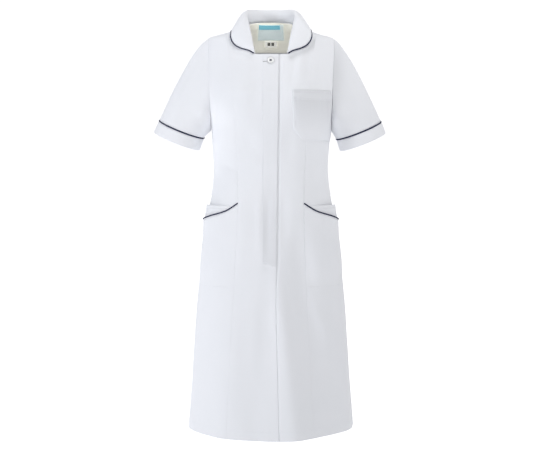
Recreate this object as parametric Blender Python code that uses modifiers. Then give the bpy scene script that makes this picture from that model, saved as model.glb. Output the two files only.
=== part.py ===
"""Short-sleeved nurse uniform dress, filled out as worn.

The zero point is the middle of the shoulder line, where the dress is held.
The front faces -Y, +X is the wearer's left side, +Z is up.
Sizes in this file are millimetres and are turned into metres as meshes are made.
"""
import math

import bmesh
import bpy
from mathutils import Matrix, Vector

MM = 0.001

# Cloth
CLOTH = 1.2
COLLAR_CLOTH = 1.6
CUFF_CLOTH = 2.2
FACING_CLOTH = 0.9
LABEL_CLOTH = 0.7
SEAM_GAP = 0.3
LAYER_GAP = 0.5
PIPING_RADIUS = 1.7
PIPING_RESOLUTION = 1

# Heights of the main levels
HEM_Z = -1016.0
HEM_FOLD_Z = -994.0
UNDERARM_Z = -257.0
SHOULDER_TIP_Z = -29.0
PRINCESS_TOP_Z = -14.0
NECK_SIDE_Z = 0.0
NECK_FRONT_Z = -72.0
NECK_BACK_Z = 19.0

# The body as level sections, from the hem up. The side is round where side_power is 2
# and comes to a ridge where it is less, which makes the shoulder line.
# z, half_width, front_depth, back_depth, face_power, side_power
BODY_SECTIONS = (
    (-1016.0, 211.0, 166.0, 166.0, 2.25, 2.25),
    (-968.0, 207.5, 162.0, 163.0, 2.25, 2.25),
    (-886.0, 201.0, 155.0, 158.0, 2.25, 2.25),
    (-805.0, 196.0, 148.0, 153.0, 2.25, 2.25),
    (-724.0, 190.5, 142.0, 148.0, 2.25, 2.25),
    (-660.0, 185.0, 137.0, 143.0, 2.25, 2.25),
    (-600.0, 178.5, 132.0, 136.0, 2.25, 2.25),
    (-541.0, 171.5, 126.0, 125.0, 2.25, 2.25),
    (-500.0, 166.0, 119.0, 113.0, 2.25, 2.25),
    (-460.0, 158.0, 110.0, 100.0, 2.25, 2.25),
    (-419.0, 150.5, 102.0, 88.0, 2.25, 2.2),
    (-390.0, 146.5, 98.0, 82.0, 2.25, 2.2),
    (-355.0, 144.5, 97.0, 80.0, 2.25, 2.2),
    (-312.0, 146.5, 103.0, 88.0, 2.3, 2.2),
    (-287.0, 148.5, 109.0, 95.0, 2.3, 2.2),
    (-257.0, 150.5, 116.0, 103.0, 2.35, 2.15),
    (-200.0, 166.0, 125.0, 111.0, 2.4, 2.1),
    (-170.0, 171.0, 123.0, 112.0, 2.4, 2.0),
    (-140.0, 172.5, 113.0, 110.0, 2.4, 1.9),
    (-110.0, 171.5, 98.0, 106.0, 2.35, 1.8),
    (-80.0, 170.0, 82.0, 98.0, 2.3, 1.7),
    (-55.0, 166.5, 74.0, 89.0, 2.3, 1.52),
    (-29.0, 158.5, 65.0, 79.0, 2.3, 1.36),
    (-14.0, 113.5, 62.0, 72.0, 2.3, 1.3),
    (0.0, 70.0, 61.0, 66.0, 2.3, 1.3),
    (22.0, 54.0, 56.0, 58.0, 2.3, 1.4),
)

# Soft troughs and ridges that fall from the hips to the hem.
# face is 1 on the front and -1 on the back; height is negative in a trough.
# face, top_x, top_z, hem_x, half_width, height
FOLDS = (
    (1, -10.0, -600.0, -32.0, 24.0, -3.2),
    (1, 8.0, -560.0, 60.0, 24.0, 7.0),
    (1, 54.0, -440.0, 146.0, 42.0, -13.0),
    (1, -98.0, -640.0, -112.0, 34.0, 4.0),
    (1, -60.0, -700.0, -72.0, 30.0, -2.0),
    (-1, -70.0, -560.0, -96.0, 28.0, 6.0),
    (-1, -20.0, -600.0, -34.0, 24.0, -6.0),
    (-1, 34.0, -580.0, 44.0, 26.0, 6.0),
    (-1, 82.0, -620.0, 112.0, 26.0, -6.0),
)
FOLD_FADE = 190.0

# Fullness over the bust, on each side of the centre
BUST_X = 74.0
BUST_Z = -168.0
BUST_HALF_WIDTH = 44.0
BUST_HALF_HEIGHT = 62.0
BUST_HEIGHT = 8.0

# Princess seam of the front: z, x
PRINCESS_SEAM = (
    (-1016.0, 109.0),
    (-800.0, 99.0),
    (-600.0, 89.0),
    (-440.0, 82.0),
    (-300.0, 86.0),
    (-150.0, 95.0),
    (-90.0, 102.0),
    (-40.0, 110.0),
    (-14.0, 113.5),
)

# Free edge of the front that laps over: z, x
LAP_EDGE = (
    (-1016.0, 19.0),
    (-860.0, 15.5),
    (-700.0, 11.5),
    (-600.0, 13.0),
    (-400.0, 15.0),
    (-80.0, 18.5),
)
UNDERLAP_X = -19.0
UNDERLAP_GAP = 1.1
UNDERLAP_BLEND_START = 25.0
UNDERLAP_BLEND_END = 40.0

# Front neckline from the collar end to the side of the neck: x, z
NECK_END_X = 39.0
NECK_ARCH_POWER = 0.7
FRONT_NECK = (
    (39.0, -72.0),
    (48.0, -67.0),
    (56.0, -56.0),
    (63.0, -38.0),
    (68.0, -16.0),
    (70.0, 0.0),
)

# Armhole seam: z, x
ARMHOLE_SEAM = (
    (-257.0, 150.5),
    (-200.0, 151.5),
    (-145.0, 153.0),
    (-85.0, 156.5),
    (-55.0, 158.0),
    (-29.0, 158.5),
)
ARM_STEPS = 14

# Mesh steps
SKIRT_ROWS = (-1016.0, -994.0, -990.0, -945.0, -900.0, -855.0, -810.0, -765.0, -720.0, -680.0,
              -647.0, -615.0, -585.0, -555.0, -525.0, -498.0, -474.0, -451.0, -425.0, -400.0,
              -375.0, -350.0, -325.0, -302.0, -280.0)
CENTRE_COLUMNS = 9
NECK_FLAT_COLUMNS = 4
SIDE_COLUMNS = 6
BACK_COLUMNS = 18

# Sleeves. Each ring is the line of a seam or an edge round the arm.
# side, piping_x, piping_z, edge_x, edge_z
SLEEVES = (
    ("right", -1, 226.0, -256.0, 239.0, -286.0),
    ("left", 1, 222.0, -259.0, 233.0, -288.0),
)
CUFF_TOP_HALF = 61.0
CUFF_EDGE_HALF = 62.0
CUFF_DEPTH = 49.0
CUFF_FRONT_DIP = 7.0
CUFF_SLOPE = math.radians(21.5)
CUFF_EASE = 0.3
CUFF_PIPING_EASE = -0.4
SLEEVE_ROWS = 7
SLEEVE_TOP_FALL = math.radians(28.0)
SLEEVE_TOP_FULLNESS = 0.6
SLEEVE_AXIS_FALL = math.radians(65.0)

# Collar for one half, from centre back to the front end.
# The roll is the fold line; the edge is given as a place on the body and a height above it.
# roll_x, roll_y, roll_z, edge_face, edge_x, edge_z
COLLAR_STATIONS = (
    (0.0, 66.0, 50.0, -1, 0.0, -12.0),
    (22.0, 64.0, 50.0, -1, 34.0, -12.0),
    (42.0, 53.0, 49.5, -1, 64.0, -12.0),
    (56.0, 34.0, 48.0, -1, 84.0, -12.0),
    (60.5, 10.0, 41.0, 0, 98.0, -9.2),
    (60.0, -14.0, 27.0, 1, 99.0, -22.0),
    (56.5, -36.0, 8.0, 1, 96.0, -36.0),
    (51.5, -54.0, -14.0, 1, 87.0, -49.0),
    (46.5, -67.0, -36.0, 1, 71.0, -57.5),
    (42.5, -74.5, -55.0, 1, 54.0, -62.5),
    (39.5, -78.0, -68.5, 1, 42.0, -69.0),
)
COLLAR_STEPS = 18
COLLAR_STAND_STEPS = 4
COLLAR_FALL_STEPS = 5
COLLAR_REST = 1.5
COLLAR_LIFT_LEFT = 3.5
COLLAR_RIDGE_SHARE = 0.4
# How far the curve of the collar is led before and after the roll, as shares of its length
STAND_LEAD = 0.45
STAND_CURL = 0.22
ROLL_LEAD = 0.24
EDGE_LEAD = 0.35
EDGE_LIFT = 0.12
FALL_SPACING = 1.15

# Chest pocket on the wearer's left
CHEST_POCKET_TOP = -162.0
CHEST_POCKET_BOTTOM = -287.0
CHEST_POCKET_X = 51.0
CHEST_POCKET_CORNER = 30.0
CHEST_POCKET_SIDE_INSET = 0.06
CHEST_POCKET_GAP = 1.0
CHEST_POCKET_COLUMNS = 10
CHEST_POCKET_ROWS = 8

# Hip pockets
POCKET_BOTTOM_Z = -647.0
POCKET_BACK_TOP_Z = -447.0
POCKET_ROWS = 8
POCKET_GAPE = 6.0
POCKET_FRONT_GAPE = 7.5
POCKET_GAPE_START_Z = -537.0
POCKET_GAPE_START_X = 95.0
POCKET_GAPE_WIDTH = 60.0
POCKET_INSET = 1.0
POCKET_PIPING_RAISE = 0.8
# share of the way from princess seam to side seam, height of the mouth
POCKET_MOUTH = (
    (0.0, -442.0),
    (0.1, -451.0),
    (0.25, -463.0),
    (0.45, -472.0),
    (0.7, -480.0),
    (1.0, -487.0),
)

# Back neck facing and labels
FACING_BOTTOM_Z = -43.0
FACING_FIRST_COLUMN = 3
FACING_TOP_GAP = 1.5
LABEL_ROWS = 2
LABEL_COLUMNS = 6
LABEL_HALF_WIDTH = 32.0
LABEL_TOP_Z = 12.0
LABEL_BOTTOM_Z = -24.0
SIZE_LABEL_HALF_WIDTH = 16.5
LABEL_GAP = 1.6
SIZE_LABEL_GAP = 0.9
SIZE_LABEL_TOP_Z = -26.0
SIZE_LABEL_BOTTOM_Z = -40.0

# Top button
BUTTON_X = -1.0
BUTTON_Z = -89.0
BUTTON_RADIUS = 7.5
BUTTON_GAP = 0.9
BUTTON_THICKNESS = 2.8
BUTTON_RIM = 1.3
BUTTON_EDGE = 0.5
BUTTON_STEPS = 24
BUTTON_DISH = 0.7
BUTTON_HOLE_RADIUS = 0.85
BUTTON_HOLE_SPREAD = 1.7
BUTTON_HOLE_SIDES = 10
BUTTON_HOLE_DEPTH = 8.0

WHITE_CLOTH = (0.86, 0.87, 0.9)
NAVY = (0.012, 0.02, 0.09)
CREAM = (0.8, 0.79, 0.68)
AQUA = (0.55, 0.75, 0.74)
BUTTON_WHITE = (0.85, 0.85, 0.85)


def clear_scene():
    for item in list(bpy.data.objects):
        bpy.data.objects.remove(item, do_unlink=True)


def make_material(name, colour, roughness):
    material = bpy.data.materials.new(name)
    material.use_nodes = True
    shader = material.node_tree.nodes["Principled BSDF"]
    shader.inputs["Base Color"].default_value = (*colour, 1.0)
    shader.inputs["Roughness"].default_value = roughness
    shader.inputs["Metallic"].default_value = 0.0
    return material


def slopes_of(keys, values):
    """Slopes at the rows of a table that never overshoot between two rows."""
    steps = [(values[i + 1] - values[i]) / (keys[i + 1] - keys[i]) for i in range(len(keys) - 1)]
    slopes = [steps[0]]
    for before, after in zip(steps, steps[1:]):
        same_way = before * after > 0.0
        slopes.append(2.0 * before * after / (before + after) if same_way else 0.0)
    slopes.append(steps[-1])
    return slopes


def smooth_table(rows):
    """Return a function that reads every later column smoothly at a value of the first."""
    keys = [row[0] for row in rows]
    columns = [[row[i] for row in rows] for i in range(1, len(rows[0]))]
    slopes = [slopes_of(keys, column) for column in columns]

    def read(at):
        at = min(max(at, keys[0]), keys[-1])
        i = 0
        while i < len(keys) - 2 and keys[i + 1] < at:
            i += 1
        step = keys[i + 1] - keys[i]
        s = (at - keys[i]) / step
        found = []
        for column, slope in zip(columns, slopes):
            start = (1 + 2 * s) * (1 - s) ** 2 * column[i]
            leave = s * (1 - s) ** 2 * step * slope[i]
            end = s * s * (3 - 2 * s) * column[i + 1]
            arrive = s * s * (s - 1) * step * slope[i + 1]
            found.append(start + leave + end + arrive)
        return found

    return read


def soft_step(value):
    value = min(max(value, 0.0), 1.0)
    return value * value * (3.0 - 2.0 * value)


def mix(a, b, share):
    return a + (b - a) * share


section_at = smooth_table(BODY_SECTIONS)
princess_at = smooth_table(PRINCESS_SEAM)
lap_edge_at = smooth_table(LAP_EDGE)
mouth_at = smooth_table(POCKET_MOUTH)
armhole_x_at = smooth_table(ARMHOLE_SEAM)


def relief(x, z, face):
    """How far the cloth stands off the plain section, over the bust and in the folds."""
    height = 0.0
    if face > 0:
        across = (abs(x) - BUST_X) / BUST_HALF_WIDTH
        up = (z - BUST_Z) / BUST_HALF_HEIGHT
        height += BUST_HEIGHT * math.exp(-across * across - up * up)
    for fold_face, top_x, top_z, hem_x, half_width, fold_height in FOLDS:
        if fold_face == face and z < top_z:
            down = (top_z - z) / (top_z - HEM_Z)
            across = (x - mix(top_x, hem_x, down)) / (half_width * mix(0.7, 1.2, down))
            height += fold_height * soft_step((top_z - z) / FOLD_FADE) * math.exp(-across * across)
    return height


def body_point(girth, z):
    """A point of the dress; girth is the angle from centre front towards the wearer's left."""
    half_width, front, back, face_power, side_power = section_at(z)
    s = math.sin(girth)
    c = math.cos(girth)
    face = 1 if c >= 0.0 else -1
    depth = front if face > 0 else back
    across = abs(s) ** (2.0 / face_power)
    along = abs(c) ** (2.0 / side_power)
    x = math.copysign(half_width * across, s)
    y = -face * depth * along
    out_x = math.copysign(across ** (face_power - 1.0) / half_width, s)
    out_y = -face * along ** (side_power - 1.0) / depth
    size = math.hypot(out_x, out_y)
    lift = relief(x, z, face) / size
    return Vector((x + out_x * lift, y + out_y * lift, z))


def body_normal(girth, z):
    turn = 0.02
    rise = 2.0
    around = body_point(girth + turn, z) - body_point(girth - turn, z)
    up = body_point(girth, z + rise) - body_point(girth, z - rise)
    return around.cross(up).normalized()


def girth_at(x, z, face=1):
    """The girth angle of the place x on the level z."""
    half_width, _, _, face_power, _ = section_at(z)
    share = min(abs(x) / half_width, 1.0) ** (face_power / 2.0)
    angle = math.copysign(math.asin(share), x)
    return angle if face > 0 else math.pi - angle


def armhole_place(turn, side):
    """The armhole loop: turn is 0 at the shoulder, half round at the underarm, front first."""
    middle = (SHOULDER_TIP_Z + UNDERARM_Z) / 2.0
    z = middle + (SHOULDER_TIP_Z - middle) * math.cos(turn)
    face = 1 if math.sin(turn) >= 0.0 else -1
    return side * girth_at(armhole_x_at(z)[0], z, face), z


# Places are pairs of girth angle and height. A panel is a grid of places, row by row from
# the hem up, and its wall is that grid moved along the normals of the body.
def wall_grids(places, thickness, lift=None, thick_at=None):
    outer = []
    inner = []
    for row in places:
        outer_row = []
        inner_row = []
        for girth, z in row:
            point = body_point(girth, z)
            normal = body_normal(girth, z)
            raised = lift(point, z) if lift else 0.0
            depth = thick_at(z) if thick_at else thickness
            outer_row.append(point + normal * raised)
            inner_row.append(point + normal * (raised - depth))
        outer.append(outer_row)
        inner.append(inner_row)
    return outer, inner


def draw_in(grid, sides, gap):
    """Move the named border points of a grid inwards, to leave half a seam gap."""
    rows = len(grid)
    columns = len(grid[0])
    moved = [[point.copy() for point in row] for row in grid]
    for i in range(rows):
        for j in range(columns):
            goals = []
            if "start" in sides and j == 0:
                goals.append(grid[i][1])
            if "end" in sides and j == columns - 1:
                goals.append(grid[i][columns - 2])
            if "bottom" in sides and i == 0:
                goals.append(grid[1][j])
            if "top" in sides and i == rows - 1:
                goals.append(grid[rows - 2][j])
            for goal in goals:
                way = goal - grid[i][j]
                if way.length > 0.0:
                    moved[i][j] += way.normalized() * gap
    return moved


def add_object(name, mesh, material):
    mesh.materials.append(material)
    item = bpy.data.objects.new(name, mesh)
    DRESS.objects.link(item)
    return item


def mesh_from(bm, name):
    bmesh.ops.recalc_face_normals(bm, faces=bm.faces)
    mesh = bpy.data.meshes.new(name)
    bm.to_mesh(mesh)
    bm.free()
    return mesh


def make_wall(name, outer, inner, material, ring=False):
    """Close two grids into one wall; a ring joins its last column to its first."""
    rows = len(outer)
    columns = len(outer[0])
    bm = bmesh.new()
    out = [[bm.verts.new(point * MM) for point in row] for row in outer]
    ins = [[bm.verts.new(point * MM) for point in row] for row in inner]
    steps = columns if ring else columns - 1
    for i in range(rows - 1):
        for j in range(steps):
            k = (j + 1) % columns
            bm.faces.new((out[i][j], out[i][k], out[i + 1][k], out[i + 1][j]))
            bm.faces.new((ins[i][j], ins[i + 1][j], ins[i + 1][k], ins[i][k]))
    for j in range(steps):
        k = (j + 1) % columns
        bm.faces.new((out[0][j], ins[0][j], ins[0][k], out[0][k]))
        bm.faces.new((out[-1][j], out[-1][k], ins[-1][k], ins[-1][j]))
    if not ring:
        for i in range(rows - 1):
            bm.faces.new((out[i][0], out[i + 1][0], ins[i + 1][0], ins[i][0]))
            bm.faces.new((out[i][-1], ins[i][-1], ins[i + 1][-1], out[i + 1][-1]))
    return add_object(name, mesh_from(bm, name), material)


def make_tube(name, path, material, ring=False):
    """A round cord along a path of points."""
    curve = bpy.data.curves.new(name, "CURVE")
    curve.dimensions = "3D"
    curve.bevel_depth = PIPING_RADIUS * MM
    curve.bevel_resolution = PIPING_RESOLUTION
    curve.use_fill_caps = not ring
    spline = curve.splines.new("POLY")
    spline.points.add(len(path) - 1)
    spline.use_cyclic_u = ring
    for place, point in zip(spline.points, path):
        place.co = (*(point * MM), 1.0)
    curve.materials.append(material)
    cord = bpy.data.objects.new(name, curve)
    DRESS.objects.link(cord)
    return cord


def arm_turns():
    """Turns of the armhole loop from the underarm up to the shoulder."""
    return [math.pi * (1.0 - i / ARM_STEPS) for i in range(ARM_STEPS + 1)]


def hem_thickness(z):
    return 2.0 * CLOTH if z <= HEM_FOLD_Z else CLOTH


def princess_heights():
    """Heights of the princess seam's points beside each row of the side panel."""
    heights = list(SKIRT_ROWS)
    middle = (SHOULDER_TIP_Z + UNDERARM_Z) / 2.0
    for turn in arm_turns():
        z = middle + (SHOULDER_TIP_Z - middle) * math.cos(turn)
        if z > middle:
            z = middle + (z - middle) * (PRINCESS_TOP_Z - middle) / (SHOULDER_TIP_Z - middle)
        heights.append(z)
    return heights


def princess_place(z, side):
    if z >= PRINCESS_TOP_Z:
        return side * math.pi / 2.0, z
    return side * girth_at(princess_at(z)[0], z), z


def side_places(side):
    """Rows of the side front, from the princess seam to the side seam and armhole."""
    near = [princess_place(z, side) for z in princess_heights()]
    far = [(side * math.pi / 2.0, z) for z in SKIRT_ROWS]
    far += [armhole_place(turn, side) for turn in arm_turns()]
    rows = []
    for start, end in zip(near, far):
        shares = [i / SIDE_COLUMNS for i in range(SIDE_COLUMNS + 1)]
        rows.append([(mix(start[0], end[0], s), mix(start[1], end[1], s)) for s in shares])
    return rows


front_neck_at = smooth_table(tuple((i / 5.0, x, z) for i, (x, z) in enumerate(FRONT_NECK)))


def centre_places(side, edge_x_at):
    """Rows of a centre front from its front edge to the princess seam; the top is the neck.

    Above the underarm the rows are blended from the four borders of the piece.
    """
    far = [(side * princess_at(z)[0], z) for z in princess_heights()]
    for share in (0.5, 1.0):
        z = mix(PRINCESS_TOP_Z, NECK_SIDE_Z, share)
        far.append((side * section_at(z)[0], z))
    flat = NECK_FLAT_COLUMNS
    neck = []
    for j in range(flat):
        neck.append((mix(edge_x_at(NECK_FRONT_Z), side * NECK_END_X, j / flat), NECK_FRONT_Z))
    for j in range(CENTRE_COLUMNS - flat + 1):
        x, z = front_neck_at(j / (CENTRE_COLUMNS - flat))
        neck.append((side * x, z))
    base = len(SKIRT_ROWS)
    last = len(far) - 1
    near = []
    for i in range(last + 1):
        z = SKIRT_ROWS[i] if i < base else mix(UNDERARM_Z, NECK_FRONT_Z, (i - base) / (last - base))
        near.append((edge_x_at(z), z))
    rows = []
    for i in range(last + 1):
        v = max(0.0, (i - base) / (last - base))
        row = []
        for j in range(CENTRE_COLUMNS + 1):
            u = j / CENTRE_COLUMNS
            place = []
            for axis in (0, 1):
                across = mix(near[i][axis], far[i][axis], u)
                if i >= base:
                    up = mix(mix(near[base][axis], far[base][axis], u), neck[j][axis], v)
                    corners_low = mix(near[base][axis], far[base][axis], u)
                    corners_high = mix(neck[0][axis], neck[-1][axis], u)
                    across += up - mix(corners_low, corners_high, v)
                place.append(across)
            row.append((girth_at(place[0], place[1]), place[1]))
        rows.append(row)
    return rows


def back_places():
    """Rows of the back, from the right side seam round to the left; the top is the neck."""
    shares = [i / BACK_COLUMNS for i in range(BACK_COLUMNS + 1)]
    ends = [(math.pi / 2.0, z) for z in SKIRT_ROWS]
    ends += [armhole_place(-turn, 1) for turn in arm_turns()]
    shoulder = [mix(SHOULDER_TIP_Z, PRINCESS_TOP_Z, i / 3.0) for i in (1, 2, 3)]
    shoulder += [mix(PRINCESS_TOP_Z, NECK_SIDE_Z, i / 2.0) for i in (1, 2)]
    ends += [(math.pi / 2.0, z) for z in shoulder]
    rows = []
    for girth, z in ends:
        hump = (NECK_BACK_Z - NECK_SIDE_Z) * soft_step((z - UNDERARM_Z) / (NECK_SIDE_Z - UNDERARM_Z))
        row = []
        for share in shares:
            arch = math.sin(math.pi * share) ** NECK_ARCH_POWER
            row.append((mix(girth, 2.0 * math.pi - girth, share), z + hump * arch))
        rows.append(row)
    return rows


def build_fronts(cloth):
    def lap_edge(z):
        return lap_edge_at(z)[0]

    def underlap_edge(z):
        return UNDERLAP_X

    def underlap_lift(point, z):
        across = (point.x - UNDERLAP_BLEND_START) / (UNDERLAP_BLEND_END - UNDERLAP_BLEND_START)
        return -(hem_thickness(z) + UNDERLAP_GAP) * (1.0 - soft_step(across))

    half_gap = SEAM_GAP / 2.0
    fronts = (("right", -1, lap_edge, None), ("left", 1, underlap_edge, underlap_lift))
    for word, side, edge, lift in fronts:
        grids = wall_grids(centre_places(side, edge), CLOTH, lift, hem_thickness)
        outer, inner = (draw_in(grid, ("end", "top"), half_gap) for grid in grids)
        make_wall("front_centre_" + word, outer, inner, cloth)
        grids = wall_grids(side_places(side), CLOTH, None, hem_thickness)
        outer, inner = (draw_in(grid, ("start", "end", "top"), half_gap) for grid in grids)
        make_wall("front_side_" + word, outer, inner, cloth)


def build_back(cloth):
    """The back in three panels, with seams over the shoulder blades like the front's."""
    places = back_places()
    third = BACK_COLUMNS // 3
    for name, first in (("back_side_left", 0), ("back_centre", third), ("back_side_right", 2 * third)):
        rows = [row[first:first + third + 1] for row in places]
        grids = wall_grids(rows, CLOTH, None, hem_thickness)
        outer, inner = (draw_in(grid, ("start", "end", "top"), SEAM_GAP / 2.0) for grid in grids)
        make_wall(name, outer, inner, cloth)


def sleeve_frame(side, ring_x, ring_z, half):
    """Centre and half axes of a sleeve ring: towards the outer end and towards the front."""
    centre = Vector((side * ring_x, 0.0, ring_z))
    outwards = Vector((side * half * math.cos(CUFF_SLOPE), 0.0, half * math.sin(CUFF_SLOPE)))
    forwards = Vector((0.0, -CUFF_DEPTH, -CUFF_FRONT_DIP))
    return centre, outwards, forwards


def ring_point(frame, turn, grow=0.0):
    centre, outwards, forwards = frame
    across = outwards * (1.0 + grow / outwards.length)
    ahead = forwards * (1.0 + grow / forwards.length)
    return centre + across * math.cos(turn) + ahead * math.sin(turn)


def sleeve_point(side, frame, turn, share):
    """A point of the sleeve between the armhole (share 0) and the cuff seam (share 1)."""
    girth, z = armhole_place(turn, side)
    start = body_point(girth, z) + Vector((side * SEAM_GAP, 0.0, 0.0))
    end = ring_point(frame, turn)
    reach = (end - start).length
    fall = mix(SLEEVE_TOP_FALL, SLEEVE_AXIS_FALL, (1.0 - math.cos(turn)) / 2.0)
    fullness = mix(SLEEVE_TOP_FULLNESS, 1.0, (1.0 - math.cos(turn)) / 2.0)
    leave = Vector((side * math.cos(fall), 0.0, -math.sin(fall))) * reach * fullness
    axis = Vector((side * math.cos(SLEEVE_AXIS_FALL), 0.0, -math.sin(SLEEVE_AXIS_FALL))) * reach
    s = share
    point = start * ((1 + 2 * s) * (1 - s) ** 2) + end * (s * s * (3 - 2 * s))
    return point + leave * (s * (1 - s) ** 2) + axis * (s * s * (s - 1))


def sleeve_normal(side, frame, turn, share):
    small = 0.03
    around = sleeve_point(side, frame, turn + small, share) - sleeve_point(side, frame, turn - small, share)
    low = max(share - small, 0.0)
    high = min(share + small, 1.0)
    along = sleeve_point(side, frame, turn, high) - sleeve_point(side, frame, turn, low)
    return around.cross(along).normalized() * side


def build_sleeves(cloth, navy):
    turns = [math.pi * i / ARM_STEPS for i in range(2 * ARM_STEPS)]
    for word, side, piping_x, piping_z, edge_x, edge_z in SLEEVES:
        seam = sleeve_frame(side, piping_x, piping_z, CUFF_TOP_HALF)
        edge = sleeve_frame(side, edge_x, edge_z, CUFF_EDGE_HALF)
        axis = (edge[0] - seam[0]).normalized()
        room = axis * (PIPING_RADIUS + SEAM_GAP)
        outer = []
        inner = []
        for i in range(SLEEVE_ROWS + 1):
            share = i / SLEEVE_ROWS
            shift = -room if i == SLEEVE_ROWS else Vector()
            points = [sleeve_point(side, seam, turn, share) + shift for turn in turns]
            normals = [sleeve_normal(side, seam, turn, share) for turn in turns]
            outer.append(points)
            inner.append([p - n * CLOTH for p, n in zip(points, normals)])
        make_wall("sleeve_" + word, outer, inner, cloth, ring=True)

        outer = []
        inner = []
        for frame, shift in ((seam, room), (edge, Vector())):
            outer.append([ring_point(frame, turn, CUFF_EASE) + shift for turn in turns])
            inner.append([ring_point(frame, turn, CUFF_EASE - CUFF_CLOTH) + shift for turn in turns])
        make_wall("cuff_" + word, outer, inner, cloth, ring=True)

        path = [ring_point(seam, turn, CUFF_PIPING_EASE) for turn in turns]
        make_tube("cuff_piping_" + word, path, navy, ring=True)


def neck_place(share):
    """The neck seam from centre back (0) over the side of the neck (0.5) to the collar end (1)."""
    if share >= 0.5:
        x, z = front_neck_at(2.0 - 2.0 * share)
        return girth_at(x, z), z
    round_back = 1.0 - 2.0 * share
    across = 0.5 + 0.5 * (1.0 - round_back)
    arch = math.sin(math.pi * across) ** NECK_ARCH_POWER
    z = NECK_SIDE_Z + (NECK_BACK_Z - NECK_SIDE_Z) * arch
    return math.pi / 2.0 * (1.0 + round_back), z


collar_at = smooth_table(tuple((i / 10.0, *row) for i, row in enumerate(COLLAR_STATIONS)))


def collar_edge_place(share):
    _, _, _, _, x, z = collar_at(share)
    if abs(share - COLLAR_RIDGE_SHARE) < 0.001:
        return math.pi / 2.0, z
    return girth_at(x, z, 1 if share > COLLAR_RIDGE_SHARE else -1), z


def collar_section(share, lift):
    """Points across the collar from the neck seam over the roll to the edge, for x above zero."""
    roll = Vector(collar_at(share)[:3])
    girth, z = neck_place(share)
    seam = body_point(girth, z)
    normal = body_normal(girth, z)
    step = 0.01
    near = neck_place(min(share + step, 1.0))
    far = neck_place(max(share - step, 0.0))
    along = (body_point(*near) - body_point(*far)).normalized()
    up = along.cross(normal).normalized()
    if up.z < 0.0:
        up = -up
    start = seam + up * 2.0 * SEAM_GAP - normal * COLLAR_CLOTH
    edge_girth, edge_z = collar_edge_place(share)
    edge_normal = body_normal(edge_girth, edge_z)
    edge = body_point(edge_girth, edge_z) + edge_normal * (COLLAR_REST + COLLAR_CLOTH + lift)
    outwards = edge + edge_normal * 20.0 - start
    outwards = Vector((outwards.x, outwards.y, 0.0)).normalized()
    rise = (roll - start).length
    reach = (edge - roll).length
    points = []
    for k in range(COLLAR_STAND_STEPS):
        s = k / COLLAR_STAND_STEPS
        led = start + up * rise * STAND_LEAD
        points.append(bezier(start, led, roll - outwards * rise * STAND_CURL, roll, s))
    hang = edge_normal * reach * EDGE_LIFT + (roll - edge) * EDGE_LEAD
    for k in range(COLLAR_FALL_STEPS + 1):
        s = (k / COLLAR_FALL_STEPS) ** FALL_SPACING
        point = bezier(roll, roll + outwards * reach * ROLL_LEAD, edge + hang, edge, s)
        points.append(keep_clear(point, COLLAR_REST + COLLAR_CLOTH))
    return points


def outside_value(point):
    """Above 1 outside the plain section of the body at the point's height, below 1 inside."""
    half_width, front, back, face_power, side_power = section_at(point.z)
    depth = front if point.y < 0.0 else back
    return (abs(point.x) / half_width) ** face_power + (abs(point.y) / depth) ** side_power


def keep_clear(point, clearance):
    """Move a point out along the body's normal until it is clear of the body."""
    step = 0.5
    for _ in range(4):
        value = outside_value(point)
        slope = Vector()
        for axis in range(3):
            probe = point.copy()
            probe[axis] += step
            slope[axis] = (outside_value(probe) - value) / step
        distance = (value - 1.0) / slope.length
        if distance >= clearance:
            break
        point = point + slope.normalized() * (clearance - distance)
    return point


def bezier(a, b, c, d, s):
    r = 1.0 - s
    return a * r ** 3 + b * 3 * r * r * s + c * 3 * r * s * s + d * s ** 3


def build_collar(cloth, navy):
    rows = []
    for i in range(-COLLAR_STEPS, COLLAR_STEPS + 1):
        share = abs(i) / COLLAR_STEPS
        lift = COLLAR_LIFT_LEFT * math.sin(math.pi * min(share / 0.95, 1.0)) ** 2 if i > 0 else 0.0
        points = collar_section(share, lift)
        if i < 0:
            points = [Vector((-p.x, p.y, p.z)) for p in points]
        rows.append(points)
    top = rows
    under = []
    count = len(rows)
    width = len(rows[0])
    for i in range(count):
        row = []
        for j in range(width):
            along = rows[min(i + 1, count - 1)][j] - rows[max(i - 1, 0)][j]
            across = rows[i][min(j + 1, width - 1)] - rows[i][max(j - 1, 0)]
            row.append(rows[i][j] + along.cross(across).normalized() * COLLAR_CLOTH)
        under.append(row)
    make_wall("collar", top, under, cloth)
    path = []
    for i in range(count):
        middle = (top[i][-1] + under[i][-1]) / 2.0
        ahead = top[min(i + 1, count - 1)][-1] - top[max(i - 1, 0)][-1]
        way = ahead.cross(top[i][-1] - under[i][-1]).normalized()
        if way.dot(top[i][-1] - top[i][-2]) < 0.0:
            way = -way
        path.append(middle + way * (PIPING_RADIUS + 2.0 * SEAM_GAP))
    make_tube("collar_piping", path, navy)


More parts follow.
